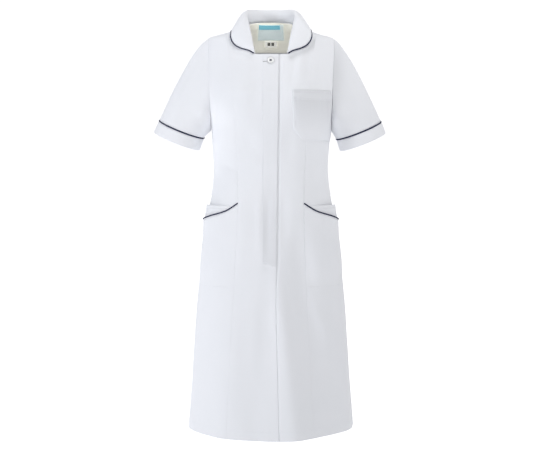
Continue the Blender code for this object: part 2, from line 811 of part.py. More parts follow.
def build_chest_pocket(cloth):
    """Patch pocket from near the placket to the armhole and side seam."""
    columns = CHEST_POCKET_COLUMNS
    rows = CHEST_POCKET_ROWS
    places = []
    for i in range(rows + 1):
        row = []
        z = mix(CHEST_POCKET_BOTTOM, CHEST_POCKET_TOP, i / rows)
        near = girth_at(CHEST_POCKET_X, z)
        middle = (SHOULDER_TIP_Z + UNDERARM_Z) / 2.0
        if z > UNDERARM_Z:
            turn = math.acos((z - middle) / (SHOULDER_TIP_Z - middle))
            far = armhole_place(turn, 1)[0]
        else:
            far = math.pi / 2.0
        far -= CHEST_POCKET_SIDE_INSET
        for j in range(columns + 1):
            girth = mix(near, far, j / columns)
            x = body_point(girth, z).x
            cut = max(0.0, CHEST_POCKET_CORNER - (x - CHEST_POCKET_X))
            lowest = CHEST_POCKET_BOTTOM + cut
            row.append((girth, mix(lowest, CHEST_POCKET_TOP, i / rows)))
        places.append(row)
    grids = wall_grids(places, CLOTH, lambda point, z: CHEST_POCKET_GAP + CLOTH)
    make_wall("chest_pocket", grids[0], grids[1], cloth)


def pocket_places(side, top_at):
    """Places of a hip pocket layer, on the same columns as the side front."""
    rows = []
    for i in range(POCKET_ROWS + 1):
        row = []
        for j in range(SIDE_COLUMNS + 1):
            share = j / SIDE_COLUMNS
            z = mix(POCKET_BOTTOM_Z, top_at(share), i / POCKET_ROWS)
            start = princess_place(z, side)[0]
            row.append((mix(start, side * math.pi / 2.0, share), z))
        rows.append(row)
    return rows


def build_hip_pockets(cloth, navy):
    def gape(point, z, depth):
        """The pocket's upper edge stands off towards the side seam."""
        up = soft_step((z - POCKET_GAPE_START_Z) / (POCKET_BACK_TOP_Z - POCKET_GAPE_START_Z))
        across = soft_step((abs(point.x) - POCKET_GAPE_START_X) / POCKET_GAPE_WIDTH)
        return depth * up * across

    for word, side in (("right", -1), ("left", 1)):
        def back_lift(point, z):
            return LAYER_GAP + CLOTH + gape(point, z, POCKET_GAPE)

        def front_lift(point, z):
            return 2.0 * (LAYER_GAP + CLOTH) + gape(point, z, POCKET_FRONT_GAPE)

        places = pocket_places(side, lambda share: POCKET_BACK_TOP_Z)
        grids = wall_grids(places, CLOTH, back_lift)
        outer, inner = (draw_in(grid, ("start", "end"), POCKET_INSET) for grid in grids)
        make_wall("pocket_back_" + word, outer, inner, cloth)

        places = pocket_places(side, lambda share: mouth_at(share)[0])
        grids = wall_grids(places, CLOTH, front_lift)
        outer, inner = (draw_in(grid, ("start", "end"), POCKET_INSET) for grid in grids)
        make_wall("pocket_front_" + word, outer, inner, cloth)
        path = []
        for j in range(SIDE_COLUMNS + 1):
            middle = (outer[-1][j] + inner[-1][j]) / 2.0
            way = (outer[-1][j] - outer[-2][j]).normalized()
            normal = (outer[-1][j] - inner[-1][j]).normalized()
            path.append(middle + way * (PIPING_RADIUS + SEAM_GAP) + normal * POCKET_PIPING_RAISE)
        make_tube("pocket_piping_" + word, path, navy)


def build_back_neck(cream, aqua):
    """The facing inside the back neck, on the points of the back, and two labels on it."""
    first = FACING_FIRST_COLUMN
    rows = []
    for row in back_places():
        if row[BACK_COLUMNS // 2][1] >= FACING_BOTTOM_Z:
            rows.append(row[first:BACK_COLUMNS - first + 1])
    grids = wall_grids(rows, FACING_CLOTH, lambda point, z: -CLOTH - LAYER_GAP)
    outer, inner = (draw_in(grid, ("top",), FACING_TOP_GAP) for grid in grids)
    make_wall("back_facing", outer, inner, cream)
    labels = (
        ("neck_label", LABEL_HALF_WIDTH, LABEL_TOP_Z, LABEL_BOTTOM_Z, LABEL_GAP, aqua),
        ("size_label", SIZE_LABEL_HALF_WIDTH, SIZE_LABEL_TOP_Z, SIZE_LABEL_BOTTOM_Z,
         SIZE_LABEL_GAP, cream),
    )
    for name, half_width, high, low, gap, material in labels:
        depth = CLOTH + LAYER_GAP + FACING_CLOTH + gap
        places = []
        for i in range(LABEL_ROWS + 1):
            z = mix(low, high, i / LABEL_ROWS)
            across = [mix(-half_width, half_width, j / LABEL_COLUMNS) for j in range(LABEL_COLUMNS + 1)]
            places.append([(girth_at(x, z, -1), z) for x in across])
        grids = wall_grids(places, LABEL_CLOTH, lambda point, z: -depth)
        make_wall(name, grids[0], grids[1], material)


def build_button(material):
    """Dished button with four holes, turned from a profile and seated on the placket."""
    dish = BUTTON_THICKNESS - BUTTON_DISH
    profile = (
        (0.0, dish),
        (BUTTON_RADIUS - BUTTON_RIM - BUTTON_DISH, dish),
        (BUTTON_RADIUS - BUTTON_RIM, BUTTON_THICKNESS),
        (BUTTON_RADIUS - BUTTON_EDGE, BUTTON_THICKNESS),
        (BUTTON_RADIUS, BUTTON_THICKNESS / 2.0),
        (BUTTON_RADIUS - BUTTON_EDGE, 0.0),
        (0.0, 0.0),
    )
    mesh = bpy.data.meshes.new("top_button")
    points = [Vector((radius, 0.0, height)) * MM for radius, height in profile]
    mesh.from_pydata(points, [(i, i + 1) for i in range(len(points) - 1)], [])
    button = add_object("top_button", mesh, material)
    turned = button.modifiers.new("turned", "SCREW")
    turned.axis = "Z"
    turned.steps = BUTTON_STEPS
    turned.render_steps = BUTTON_STEPS
    turned.use_merge_vertices = True
    turned.merge_threshold = 0.00001

    bm = bmesh.new()
    for across in (-1.0, 1.0):
        for up in (-1.0, 1.0):
            place = Matrix.Translation(Vector((across, up, 1.0)) * BUTTON_HOLE_SPREAD * MM)
            bmesh.ops.create_cone(bm, cap_ends=True, segments=BUTTON_HOLE_SIDES,
                                  radius1=BUTTON_HOLE_RADIUS * MM, radius2=BUTTON_HOLE_RADIUS * MM,
                                  depth=BUTTON_HOLE_DEPTH * MM, matrix=place)
    mesh = bpy.data.meshes.new("button_holes")
    bm.to_mesh(mesh)
    bm.free()
    cutter = bpy.data.objects.new("button_holes", mesh)
    cutter.hide_render = True
    cutter.display_type = "WIRE"
    CUTTERS.objects.link(cutter)
    cut = button.modifiers.new("holes", "BOOLEAN")
    cut.operation = "DIFFERENCE"
    cut.solver = "EXACT"
    cut.object = cutter

    girth = girth_at(BUTTON_X, BUTTON_Z)
    normal = body_normal(girth, BUTTON_Z)
    seat = body_point(girth, BUTTON_Z) + normal * BUTTON_GAP
    turn = normal.to_track_quat("Z", "Y")
    for item in (button, cutter):
        item.matrix_world = Matrix.Translation(seat * MM) @ turn.to_matrix().to_4x4()


clear_scene()
DRESS = bpy.data.collections.new("nurse_uniform_dress")
CUTTERS = bpy.data.collections.new("cutters")
bpy.context.scene.collection.children.link(DRESS)
bpy.context.scene.collection.children.link(CUTTERS)

white = make_material("white_twill", WHITE_CLOTH, 0.8)
navy = make_material("navy_piping", NAVY, 0.7)
cream = make_material("cream_facing", CREAM, 0.85)
aqua = make_material("aqua_label", AQUA, 0.6)
button_white = make_material("button_white", BUTTON_WHITE, 0.35)

build_fronts(white)
build_back(white)
build_sleeves(white, navy)
build_collar(white, navy)
build_chest_pocket(white)
build_hip_pockets(white, navy)
build_back_neck(cream, aqua)
build_button(button_white)
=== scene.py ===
import math

import bmesh
import bpy
import numpy as np
from mathutils import Matrix, Vector


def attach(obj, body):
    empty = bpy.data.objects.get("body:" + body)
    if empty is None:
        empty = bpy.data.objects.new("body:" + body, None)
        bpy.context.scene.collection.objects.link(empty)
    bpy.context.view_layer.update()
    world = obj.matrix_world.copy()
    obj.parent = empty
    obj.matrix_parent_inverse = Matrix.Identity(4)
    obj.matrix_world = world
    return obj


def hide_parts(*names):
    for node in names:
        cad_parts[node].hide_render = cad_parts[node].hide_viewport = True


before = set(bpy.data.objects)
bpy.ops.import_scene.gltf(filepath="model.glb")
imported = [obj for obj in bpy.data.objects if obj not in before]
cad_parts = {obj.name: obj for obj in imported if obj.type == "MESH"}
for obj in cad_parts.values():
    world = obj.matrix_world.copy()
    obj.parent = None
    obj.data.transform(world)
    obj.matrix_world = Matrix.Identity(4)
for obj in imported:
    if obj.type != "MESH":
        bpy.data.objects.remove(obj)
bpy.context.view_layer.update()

MM = 0.001

# The studio. The dress floats at the height at which it is worn, over a pale floor, in front
# of a white wall of light. A large soft lamp stands high on the left, a smaller one hangs
# close above on the right, and a weak one stands in front.
CAMERA_PLACE = (-0.0025, -3.4, -0.315)
CAMERA_DOWN = math.radians(3.1)
CAMERA_LENS = 89.24
CAMERA_SENSOR = 36.0
FLOOR_Z = -1.38
FLOOR_SIZE = 30.0
FLOOR_GLOW = 0.5
FLOOR_GLOW_SEEN = 1.0
LAMP_AIM = (0.0, 0.0, -0.5)
# name, place, size, power, colour
LAMPS = (
    ("key_lamp", (-3.3, -1.5, 0.7), 1.3, 48.0, "#F6F9FF"),
    ("front_lamp", (-0.4, -3.2, 0.6), 1.0, 5.0, "#FFFFFF"),
    ("top_lamp", (0.75, -0.75, 1.3), 0.7, 14.5, "#FFFFFF"),
)
# The wall's light grows from the side of the camera to the far side, and is seen as white.
WALL_SPAN = (-0.2, 0.75)
WALL_LIGHT = (0.24, 0.7)
WALL_SEEN = 1.1


def linear(hex_colour):
    """An sRGB hex colour as the linear values that a shader takes."""
    values = [int(hex_colour[i:i + 2], 16) / 255.0 for i in (1, 3, 5)]
    return tuple(v / 12.92 if v <= 0.04045 else ((v + 0.055) / 1.055) ** 2.4 for v in values)


def add_node(tree, kind, settings=None, inputs=None):
    """Add a node; a tuple (node, output) as an input makes a link, anything else is a value."""
    node = tree.nodes.new(kind)
    for key, value in (settings or {}).items():
        setattr(node, key, value)
    for key, value in (inputs or {}).items():
        if isinstance(value, tuple) and isinstance(value[0], bpy.types.Node):
            tree.links.new(value[0].outputs[value[1]], node.inputs[key])
        else:
            node.inputs[key].default_value = value
    return node


def map_range(tree, value, span, result, settings=None):
    """Add a node that maps the stretch span of a value onto the stretch result."""
    return add_node(tree, "ShaderNodeMapRange", settings,
                    {"Value": value, "From Min": span[0], "From Max": span[1],
                     "To Min": result[0], "To Max": result[1]})


def new_material(name):
    """A material with an empty node tree."""
    material = bpy.data.materials.new(name)
    material.use_nodes = True
    material.node_tree.nodes.clear()
    return material, material.node_tree


def two_tints(tree, share, first, second):
    """Add a node that blends two near colours by a share."""
    return add_node(tree, "ShaderNodeMix", {"data_type": "RGBA"},
                    {0: share, 6: (*linear(first), 1.0), 7: (*linear(second), 1.0)})


def add_surface(tree, inputs):
    """The surface of a material, joined to its output."""
    surface = add_node(tree, "ShaderNodeBsdfPrincipled", None, inputs)
    add_node(tree, "ShaderNodeOutputMaterial", None, {"Surface": (surface, "BSDF")})


def add_piece(name, bm, material):
    """A smooth object in one material from a bmesh, which it frees."""
    for face in bm.faces:
        face.smooth = True
    mesh = bpy.data.meshes.new(name)
    bm.to_mesh(mesh)
    bm.free()
    mesh.materials.append(material)
    piece = bpy.data.objects.new(name, mesh)
    bpy.context.scene.collection.objects.link(piece)
    return piece


camera_data = bpy.data.cameras.new("camera")
camera_data.lens = CAMERA_LENS
camera_data.sensor_width = CAMERA_SENSOR
camera = bpy.data.objects.new("camera", camera_data)
camera.location = CAMERA_PLACE
camera.rotation_euler = (math.pi / 2.0 - CAMERA_DOWN, 0.0, 0.0)
bpy.context.scene.collection.objects.link(camera)
bpy.context.scene.camera = camera
bpy.context.scene.view_settings.view_transform = "Standard"

for name, place, size, power, colour in LAMPS:
    lamp_data = bpy.data.lights.new(name, "AREA")
    lamp_data.shape = "DISK"
    lamp_data.size = size
    lamp_data.energy = power
    lamp_data.color = linear(colour)
    lamp = bpy.data.objects.new(name, lamp_data)
    lamp.location = place
    aim = Vector(LAMP_AIM) - Vector(place)
    lamp.rotation_euler = aim.to_track_quat("-Z", "Y").to_euler()
    bpy.context.scene.collection.objects.link(lamp)

world = bpy.data.worlds.new("studio")
bpy.context.scene.world = world
world.use_nodes = True
tree = world.node_tree
tree.nodes.clear()
coordinate = add_node(tree, "ShaderNodeTexCoord")
direction = add_node(tree, "ShaderNodeSeparateXYZ", None, {"Vector": (coordinate, "Generated")})
wall = map_range(tree, (direction, "Y"), WALL_SPAN, WALL_LIGHT,
                 {"interpolation_type": "SMOOTHSTEP"})
ray = add_node(tree, "ShaderNodeLightPath")
paper = add_node(tree, "ShaderNodeMix", {"data_type": "FLOAT"},
                 {0: (ray, "Is Camera Ray"), 2: (wall, "Result"), 3: WALL_SEEN})
light = add_node(tree, "ShaderNodeBackground", None,
                 {"Color": (*linear("#FDFDFF"), 1.0), "Strength": (paper, 0)})
add_node(tree, "ShaderNodeOutputWorld", None, {"Surface": (light, "Background")})

paint, tree = new_material("matt_studio_paint")
ray = add_node(tree, "ShaderNodeLightPath")
glow = add_node(tree, "ShaderNodeMix", {"data_type": "FLOAT"},
                {0: (ray, "Is Camera Ray"), 2: FLOOR_GLOW, 3: FLOOR_GLOW_SEEN})
add_surface(tree, {"Base Color": (*linear("#F2F3F5"), 1.0), "Roughness": 0.9,
                   "Emission Color": (1.0, 1.0, 1.0, 1.0), "Emission Strength": (glow, 0)})
bm = bmesh.new()
bmesh.ops.create_grid(bm, x_segments=2, y_segments=2, size=FLOOR_SIZE,
                      matrix=Matrix.Translation((0.0, 0.0, FLOOR_Z)))
add_piece("floor", bm, paint)


# The white cloth: a tightly woven twill of polyester and cotton, pressed, with sewn seams.
# It is matt with a faint sheen; the diagonal ribs are drawn 1.4 mm apart, because real ones,
# half a millimetre apart, are too fine to show. Rows of stitches draw the cloth in, and its colour
# is darkened along them as painted shade.
RIB_LEAN = math.radians(52.0)
# The length in metres after which a wave texture of scale 1 repeats.
BAND_PERIOD = 0.314
STITCH_REACH = 2.2
FAR_FROM_STITCH = 9.0
GREYED_TONE = 0.8


def woven_cloth(name, colour, shade, rib, roughness, sheen, painted_glow=0.0):
    """A woven cloth. The UV map is in metres along the cloth, and rib is in metres too. The
    attribute stitch holds the distance in millimetres from the nearest sewn line, and the
    attribute shade holds painted shade: 1 where the colour is darkened to stand for shadow
    from a close part or a hollow. The last value is a painted glow in the cloth's own colour,
    for the light that thin cloth lets in from the white wall behind it."""
    material, tree = new_material(name)
    place = add_node(tree, "ShaderNodeTexCoord")
    turned = add_node(tree, "ShaderNodeMapping", None,
                      {"Vector": (place, "UV"), "Rotation": (0.0, 0.0, RIB_LEAN)})
    ribs = add_node(tree, "ShaderNodeTexWave",
                    {"wave_type": "BANDS", "bands_direction": "X", "wave_profile": "SIN"},
                    {"Vector": (turned, "Vector"), "Scale": BAND_PERIOD / rib, "Distortion": 1.2,
                     "Detail": 2.0, "Detail Scale": 2.0})
    slubs = add_node(tree, "ShaderNodeTexNoise", None,
                     {"Vector": (place, "UV"), "Scale": 420.0, "Detail": 3.0, "Roughness": 0.6})
    uneven = add_node(tree, "ShaderNodeTexNoise", None,
                      {"Vector": (place, "Object"), "Scale": 9.0, "Detail": 3.0})
    weave = add_node(tree, "ShaderNodeMix", {"data_type": "FLOAT"},
                     {0: 0.45, 2: (ribs, "Fac"), 3: (slubs, "Fac")})
    threads = add_node(tree, "ShaderNodeBump", None,
                       {"Strength": 0.35, "Distance": 0.00025, "Height": (weave, 0)})
    sewn = add_node(tree, "ShaderNodeAttribute", {"attribute_name": "stitch"})
    line = map_range(tree, (sewn, "Fac"), (0.0, STITCH_REACH), (0.0, 1.0),
                     {"interpolation_type": "SMOOTHERSTEP"})
    drawn_in = add_node(tree, "ShaderNodeBump", None,
                        {"Strength": 1.0, "Distance": 0.0006, "Height": (line, "Result"),
                         "Normal": (threads, "Normal")})
    mottled = two_tints(tree, (uneven, "Fac"), colour, shade)
    # Painted shade: the colour darkens towards each sewn line, for the groove that it draws in.
    stitch_shade = map_range(tree, (line, "Result"), (0.0, 1.0), (0.93, 1.0))
    rib_tone = map_range(tree, (weave, 0), (0.2, 0.8), (0.965, 1.0))
    # Painted shade: the attribute shade greys the colour where shadow falls.
    painted_shade = add_node(tree, "ShaderNodeAttribute", {"attribute_name": "shade"})
    greyed = map_range(tree, (painted_shade, "Fac"), (0.0, 1.0), (1.0, GREYED_TONE))
    ribbed = add_node(tree, "ShaderNodeMath", {"operation": "MULTIPLY"},
                      {0: (stitch_shade, "Result"), 1: (rib_tone, "Result")})
    tone = add_node(tree, "ShaderNodeMath", {"operation": "MULTIPLY"},
                    {0: (ribbed, 0), 1: (greyed, "Result")})
    dyed = add_node(tree, "ShaderNodeMix", {"data_type": "RGBA", "blend_type": "MULTIPLY"},
                    {0: 1.0, 6: (mottled, 2), 7: (tone, 0)})
    worn = map_range(tree, (slubs, "Fac"), (0.0, 1.0), (roughness - 0.06, roughness + 0.06))
    # The emission in the cloth's own colour is a painted glow.
    add_surface(tree, {"Base Color": (dyed, 2), "Roughness": (worn, "Result"),
                       "Normal": (drawn_in, "Normal"), "Sheen Weight": sheen,
                       "Sheen Roughness": 0.45, "Emission Color": (dyed, 2),
                       "Emission Strength": painted_glow})
    return material


white_twill = woven_cloth("pressed_white_twill", "#F4F5F9", "#EFF1F5", 0.0014, 0.84, 0.18)

# The form that the cloth takes, as level sections of the filled dress.
# z, half_width, front_depth, back_depth, face_power, side_power
HEM_Z = -1016.0
HEM_FOLD_Z = -994.0
UNDERARM_Z = -257.0
SHOULDER_TIP_Z = -29.0
PRINCESS_TOP_Z = -14.0
NECK_SIDE_Z = 0.0
NECK_FRONT_Z = -72.0
NECK_BACK_Z = 19.0
BODY_SECTIONS = (
    (-1016.0, 211.0, 166.0, 166.0, 2.25, 2.25),
    (-968.0, 207.5, 162.0, 163.0, 2.25, 2.25),
    (-886.0, 201.0, 155.0, 158.0, 2.25, 2.25),
    (-805.0, 196.0, 148.0, 153.0, 2.25, 2.25),
    (-724.0, 190.5, 142.0, 148.0, 2.25, 2.25),
    (-660.0, 185.0, 137.0, 143.0, 2.25, 2.25),
    (-600.0, 178.5, 132.0, 136.0, 2.25, 2.25),
    (-541.0, 171.5, 126.0, 125.0, 2.25, 2.25),
    (-500.0, 166.0, 119.0, 113.0, 2.25, 2.25),
    (-460.0, 158.0, 110.0, 100.0, 2.25, 2.25),
    (-419.0, 150.5, 102.0, 88.0, 2.25, 2.2),
    (-390.0, 146.5, 98.0, 82.0, 2.25, 2.2),
    (-355.0, 144.5, 97.0, 80.0, 2.25, 2.2),
    (-312.0, 146.5, 103.0, 88.0, 2.3, 2.2),
    (-287.0, 148.5, 109.0, 95.0, 2.3, 2.2),
    (-257.0, 150.5, 116.0, 103.0, 2.35, 2.15),
    (-200.0, 166.0, 125.0, 111.0, 2.4, 2.1),
    (-170.0, 171.0, 123.0, 112.0, 2.4, 2.0),
    (-140.0, 172.5, 113.0, 110.0, 2.4, 1.9),
    (-110.0, 171.5, 98.0, 106.0, 2.35, 1.8),
    (-80.0, 170.0, 82.0, 98.0, 2.3, 1.7),
    (-55.0, 166.5, 74.0, 89.0, 2.3, 1.52),
    (-29.0, 158.5, 65.0, 79.0, 2.3, 1.36),
    (-14.0, 113.5, 62.0, 72.0, 2.3, 1.3),
    (0.0, 70.0, 61.0, 66.0, 2.3, 1.3),
    (22.0, 54.0, 56.0, 58.0, 2.3, 1.4),
)
# Soft folds that fall from the hips to the hem.
# face (1 front, -1 back), top_x, top_z, hem_x, half_width, height
FOLDS = (
    (1, -10.0, -600.0, -32.0, 24.0, -3.2),
    (1, 8.0, -560.0, 60.0, 24.0, 7.0),
    (1, 54.0, -440.0, 146.0, 42.0, -13.0),
    (1, -98.0, -640.0, -112.0, 34.0, 4.0),
    (1, -60.0, -700.0, -72.0, 30.0, -2.0),
    (-1, -70.0, -560.0, -96.0, 28.0, 6.0),
    (-1, -20.0, -600.0, -34.0, 24.0, -6.0),
    (-1, 34.0, -580.0, 44.0, 26.0, 6.0),
    (-1, 82.0, -620.0, 112.0, 26.0, -6.0),
)
FOLD_FADE = 190.0
FOLD_SPREAD = (0.7, 1.2)
# Smaller creases, from one end to the other: troughs have a negative height.
# face, x, z, end_x, end_z, half_width, height before CREASE_DEPTH
CREASES = (
    (1, -30.0, -395.0, -27.0, -600.0, 9.0, 1.6),
    (1, -8.0, -400.0, -8.0, -590.0, 10.0, -2.2),
    (1, 30.0, -380.0, 34.0, -560.0, 13.0, -2.0),
    (1, 72.0, -600.0, 150.0, -810.0, 14.0, 2.2),
    (1, -42.0, -90.0, -46.0, -240.0, 20.0, -2.2),
    (1, -70.0, -380.0, -78.0, -640.0, 16.0, 1.6),
    (1, -112.0, -150.0, -128.0, -330.0, 15.0, 1.8),
    (1, -136.0, -120.0, -139.0, -250.0, 9.0, -1.6),
    (1, 112.0, -150.0, 126.0, -330.0, 15.0, 1.6),
    (1, 136.0, -100.0, 140.0, -250.0, 9.0, -1.8),
    (1, -60.0, -250.0, -40.0, -330.0, 18.0, -1.6),
    (1, 48.0, -240.0, 40.0, -330.0, 16.0, -1.6),
    (1, -128.0, -340.0, -60.0, -372.0, 10.0, -1.2),
    (1, 128.0, -338.0, 62.0, -368.0, 10.0, -1.3),
    (1, 110.0, -52.0, 128.0, -150.0, 12.0, -1.4),
    (1, 80.0, -28.0, 66.0, -150.0, 12.0, 1.8),
    (1, 60.0, -62.0, 48.0, -160.0, 9.0, -1.2),
    (1, 98.0, -48.0, 90.0, -150.0, 10.0, -1.4),
    (-1, -60.0, -330.0, -66.0, -620.0, 18.0, 2.0),
    (-1, 52.0, -330.0, 60.0, -600.0, 18.0, 2.2),
    (-1, -8.0, -350.0, -6.0, -600.0, 16.0, -1.8),
    (-1, -130.0, -345.0, -40.0, -365.0, 10.0, -1.6),
    (-1, 130.0, -350.0, 44.0, -362.0, 10.0, -1.8),
    (-1, -112.0, -352.0, -20.0, -392.0, 9.0, 1.2),
    (-1, 116.0, -140.0, 120.0, -300.0, 16.0, 2.0),
    (-1, -116.0, -140.0, -118.0, -300.0, 16.0, 1.8),
)
CREASE_DEPTH = 1.25
CREASE_ENDS = 0.35
# The slow unevenness: its height and size, how much longer it is up the cloth than across,
# and how far its pattern is shifted between front and back.
UNEVEN_HEIGHT = 0.32
UNEVEN_SIZE = 70.0
UNEVEN_UP = 0.45
UNEVEN_SHIFT = 400.0
BUST_X = 74.0
BUST_Z = -168.0
BUST_HALF_WIDTH = 44.0
BUST_HALF_HEIGHT = 62.0
BUST_HEIGHT = 8.0
CLOTH = 1.2
MERGE_DISTANCE = 0.01


def curve_through(rows):
    """Reads the later columns of a table smoothly, at values of the first."""
    table = np.array(rows, float)
    keys = table[:, 0]
    values = table[:, 1:]
    steps = np.diff(values, axis=0) / np.diff(keys)[:, None]
    slopes = np.zeros_like(values)
    slopes[0] = steps[0]
    slopes[-1] = steps[-1]
    before = steps[:-1]
    after = steps[1:]
    same_way = before * after > 0.0
    total = np.where(same_way, before + after, 1.0)
    slopes[1:-1] = np.where(same_way, 2.0 * before * after / total, 0.0)

    def read(at):
        at = np.clip(np.asarray(at, float), keys[0], keys[-1])
        i = np.clip(np.searchsorted(keys, at) - 1, 0, len(keys) - 2)
        step = (keys[i + 1] - keys[i])[..., None]
        s = (at - keys[i])[..., None] / step
        start = (1 + 2 * s) * (1 - s) ** 2 * values[i]
        leave = s * (1 - s) ** 2 * step * slopes[i]
        end = s * s * (3 - 2 * s) * values[i + 1]
        arrive = s * s * (s - 1) * step * slopes[i + 1]
        return np.moveaxis(start + leave + end + arrive, -1, 0)

    return read


def soft_step(value):
    value = np.clip(value, 0.0, 1.0)
    return value * value * (3.0 - 2.0 * value)


def mix(a, b, share):
    return a + (b - a) * share


def unevenness(across, up, size, seed):
    """Slow waves in the cloth that never repeat, about one unit high."""
    chance = np.random.default_rng(seed)
    total = np.zeros(np.broadcast(across, up).shape)
    waves = 8
    for _ in range(waves):
        angle = chance.uniform(0.0, math.pi)
        length = size * chance.uniform(0.6, 1.7)
        along = across * math.cos(angle) + up * math.sin(angle)
        total += np.sin(2.0 * math.pi * along / length + chance.uniform(0.0, 2.0 * math.pi))
    return total / math.sqrt(waves)


section_at = curve_through(BODY_SECTIONS)


def relief(x, z, face):
    """How far the cloth stands off the plain section."""
    front = face > 0
    across = (np.abs(x) - BUST_X) / BUST_HALF_WIDTH
    up = (z - BUST_Z) / BUST_HALF_HEIGHT
    height = np.where(front, BUST_HEIGHT * np.exp(-across * across - up * up), 0.0)
    for fold_face, top_x, top_z, hem_x, half_width, fold_height in FOLDS:
        down = (top_z - z) / (top_z - HEM_Z)
        middle = mix(top_x, hem_x, down)
        across = (x - middle) / (half_width * mix(*FOLD_SPREAD, down))
        fold = fold_height * soft_step((top_z - z) / FOLD_FADE) * np.exp(-across * across)
        height = height + np.where((face == fold_face) & (z < top_z), fold, 0.0)
    return height


def creases(x, z, face):
    """The smaller creases and the slow unevenness of the cloth, in millimetres."""
    height = UNEVEN_HEIGHT * unevenness(x + UNEVEN_SHIFT * face, z * UNEVEN_UP, UNEVEN_SIZE, 11)
    for crease_face, x_a, z_a, x_b, z_b, half_width, crease_height in CREASES:
        length = math.hypot(x_b - x_a, z_b - z_a)
        along = ((x - x_a) * (x_b - x_a) + (z - z_a) * (z_b - z_a)) / length ** 2
        off = ((x - x_a) * (z_b - z_a) - (z - z_a) * (x_b - x_a)) / length
        ends = soft_step(along / CREASE_ENDS) * soft_step((1.0 - along) / CREASE_ENDS)
        crease = CREASE_DEPTH * crease_height * ends * np.exp(-(off / half_width) ** 2)
        height = height + np.where(face == crease_face, crease, 0.0)
    return height


def body_point(girth, z):
    """Points of the dress; girth is the angle from centre front to the wearer's left."""
    half_width, front, back, face_power, side_power = section_at(z)
    s = np.sin(girth)
    c = np.cos(girth)
    face = np.where(c >= 0.0, 1, -1)
    depth = np.where(face > 0, front, back)
    across = np.abs(s) ** (2.0 / face_power)
    along = np.abs(c) ** (2.0 / side_power)
    x = np.copysign(half_width * across, s)
    y = -face * depth * along
    out_x = np.copysign(across ** (face_power - 1.0) / half_width, s)
    out_y = -face * along ** (side_power - 1.0) / depth
    lift = relief(x, z, face) / np.hypot(out_x, out_y)
    return np.stack([x + out_x * lift, y + out_y * lift, z + 0.0 * x], -1)


def unit(vectors):
    return vectors / np.maximum(np.linalg.norm(vectors, axis=-1, keepdims=True), 1e-9)


def body_normal(girth, z):
    turn = 0.02
    rise = 2.0
    around = body_point(girth + turn, z) - body_point(girth - turn, z)
    up = body_point(girth, z + rise) - body_point(girth, z - rise)
    return unit(np.cross(around, up))


def girth_at(x, z, face=1):
    half_width, _, _, face_power, _ = section_at(z)
    share = np.minimum(np.abs(x) / half_width, 1.0) ** (face_power / 2.0)
    angle = np.copysign(np.arcsin(share), x)
    return np.where(np.asarray(face) > 0, angle, math.pi - angle)


def rows_of_cloth(grid_rows, grid_columns):
    """A flat grid of cloth, with each vertex's row and column."""
    bm = bmesh.new()
    bmesh.ops.create_grid(bm, x_segments=grid_columns - 1, y_segments=grid_rows - 1, size=1.0)
    mesh = bpy.data.meshes.new("cloth")
    bm.to_mesh(mesh)
    bm.free()
    flat = np.empty(len(mesh.vertices) * 3)
    mesh.vertices.foreach_get("co", flat)
    flat = flat.reshape(-1, 3)
    column = np.rint((flat[:, 0] + 1.0) / 2.0 * (grid_columns - 1)).astype(int)
    row = np.rint((flat[:, 1] + 1.0) / 2.0 * (grid_rows - 1)).astype(int)
    return mesh, row, column


def sew_panel(name, points, normals, material, thickness=CLOTH, stitch=None, hem=None, ring=False,
              shade=None):
    """A panel from a grid of points in millimetres. stitch and shade are the values that the
    cloth's material reads (shade is painted shade), hem marks where the cloth is double, and a ring is sewn
    closed."""
    rows, columns = points.shape[:2]
    mesh, row, column = rows_of_cloth(rows, columns)
    place = points[row, column] * MM
    mesh.vertices.foreach_set("co", place.ravel())
    across = np.linalg.norm(np.diff(points, axis=1), axis=-1)
    across = np.concatenate([np.zeros((rows, 1)), np.cumsum(across, axis=1)], axis=1)
    across = across - across[:, columns // 2][:, None]
    up = np.linalg.norm(np.diff(points, axis=0), axis=-1)
    up = np.concatenate([np.zeros((1, columns)), np.cumsum(up, axis=0)], axis=0)
    corner = np.empty(len(mesh.loops), int)
    mesh.loops.foreach_get("vertex_index", corner)
    chart = np.stack([across[row, column], up[row, column]], -1)[corner] * MM
    layer = mesh.uv_layers.new(name="cloth_metres")
    layer.uv.foreach_set("vector", chart.ravel())
    distance = np.full(len(row), FAR_FROM_STITCH) if stitch is None else stitch[row, column]
    mark = mesh.attributes.new("stitch", "FLOAT", "POINT")
    mark.data.foreach_set("value", np.minimum(distance, FAR_FROM_STITCH))
    if shade is not None:
        grey = mesh.attributes.new("shade", "FLOAT", "POINT")
        grey.data.foreach_set("value", np.clip(shade[row, column], 0.0, 1.0))
    mesh.update()
    facing = np.empty(len(mesh.vertices) * 3)
    mesh.vertices.foreach_get("normal", facing)
    same = float(np.sum(facing.reshape(-1, 3) * normals[row, column]))
    bm = bmesh.new()
    bm.from_mesh(mesh)
    if ring:
        bmesh.ops.remove_doubles(bm, verts=bm.verts, dist=MERGE_DISTANCE * MM)
    if same < 0.0:
        bmesh.ops.reverse_faces(bm, faces=bm.faces)
    for face in bm.faces:
        face.smooth = True
    mesh.clear_geometry()
    bm.to_mesh(mesh)
    bm.free()
    mesh.name = name
    mesh.materials.append(material)
    piece = bpy.data.objects.new(name, mesh)
    bpy.context.scene.collection.objects.link(piece)
    wall = piece.modifiers.new("thickness", "SOLIDIFY")
    wall.offset = -1.0
    wall.thickness = thickness * MM
    if hem is not None:
        wall.thickness = 2.0 * thickness * MM
        double = piece.vertex_groups.new(name="double")
        weights = hem[row, column]
        for weight in (0.5, 1.0):
            double.add([int(i) for i in np.flatnonzero(weights == weight)], weight, "REPLACE")
        wall.vertex_group = "double"
    return piece


CLOSE_STEPS = (0.0, 0.7, 1.8, 4.0)


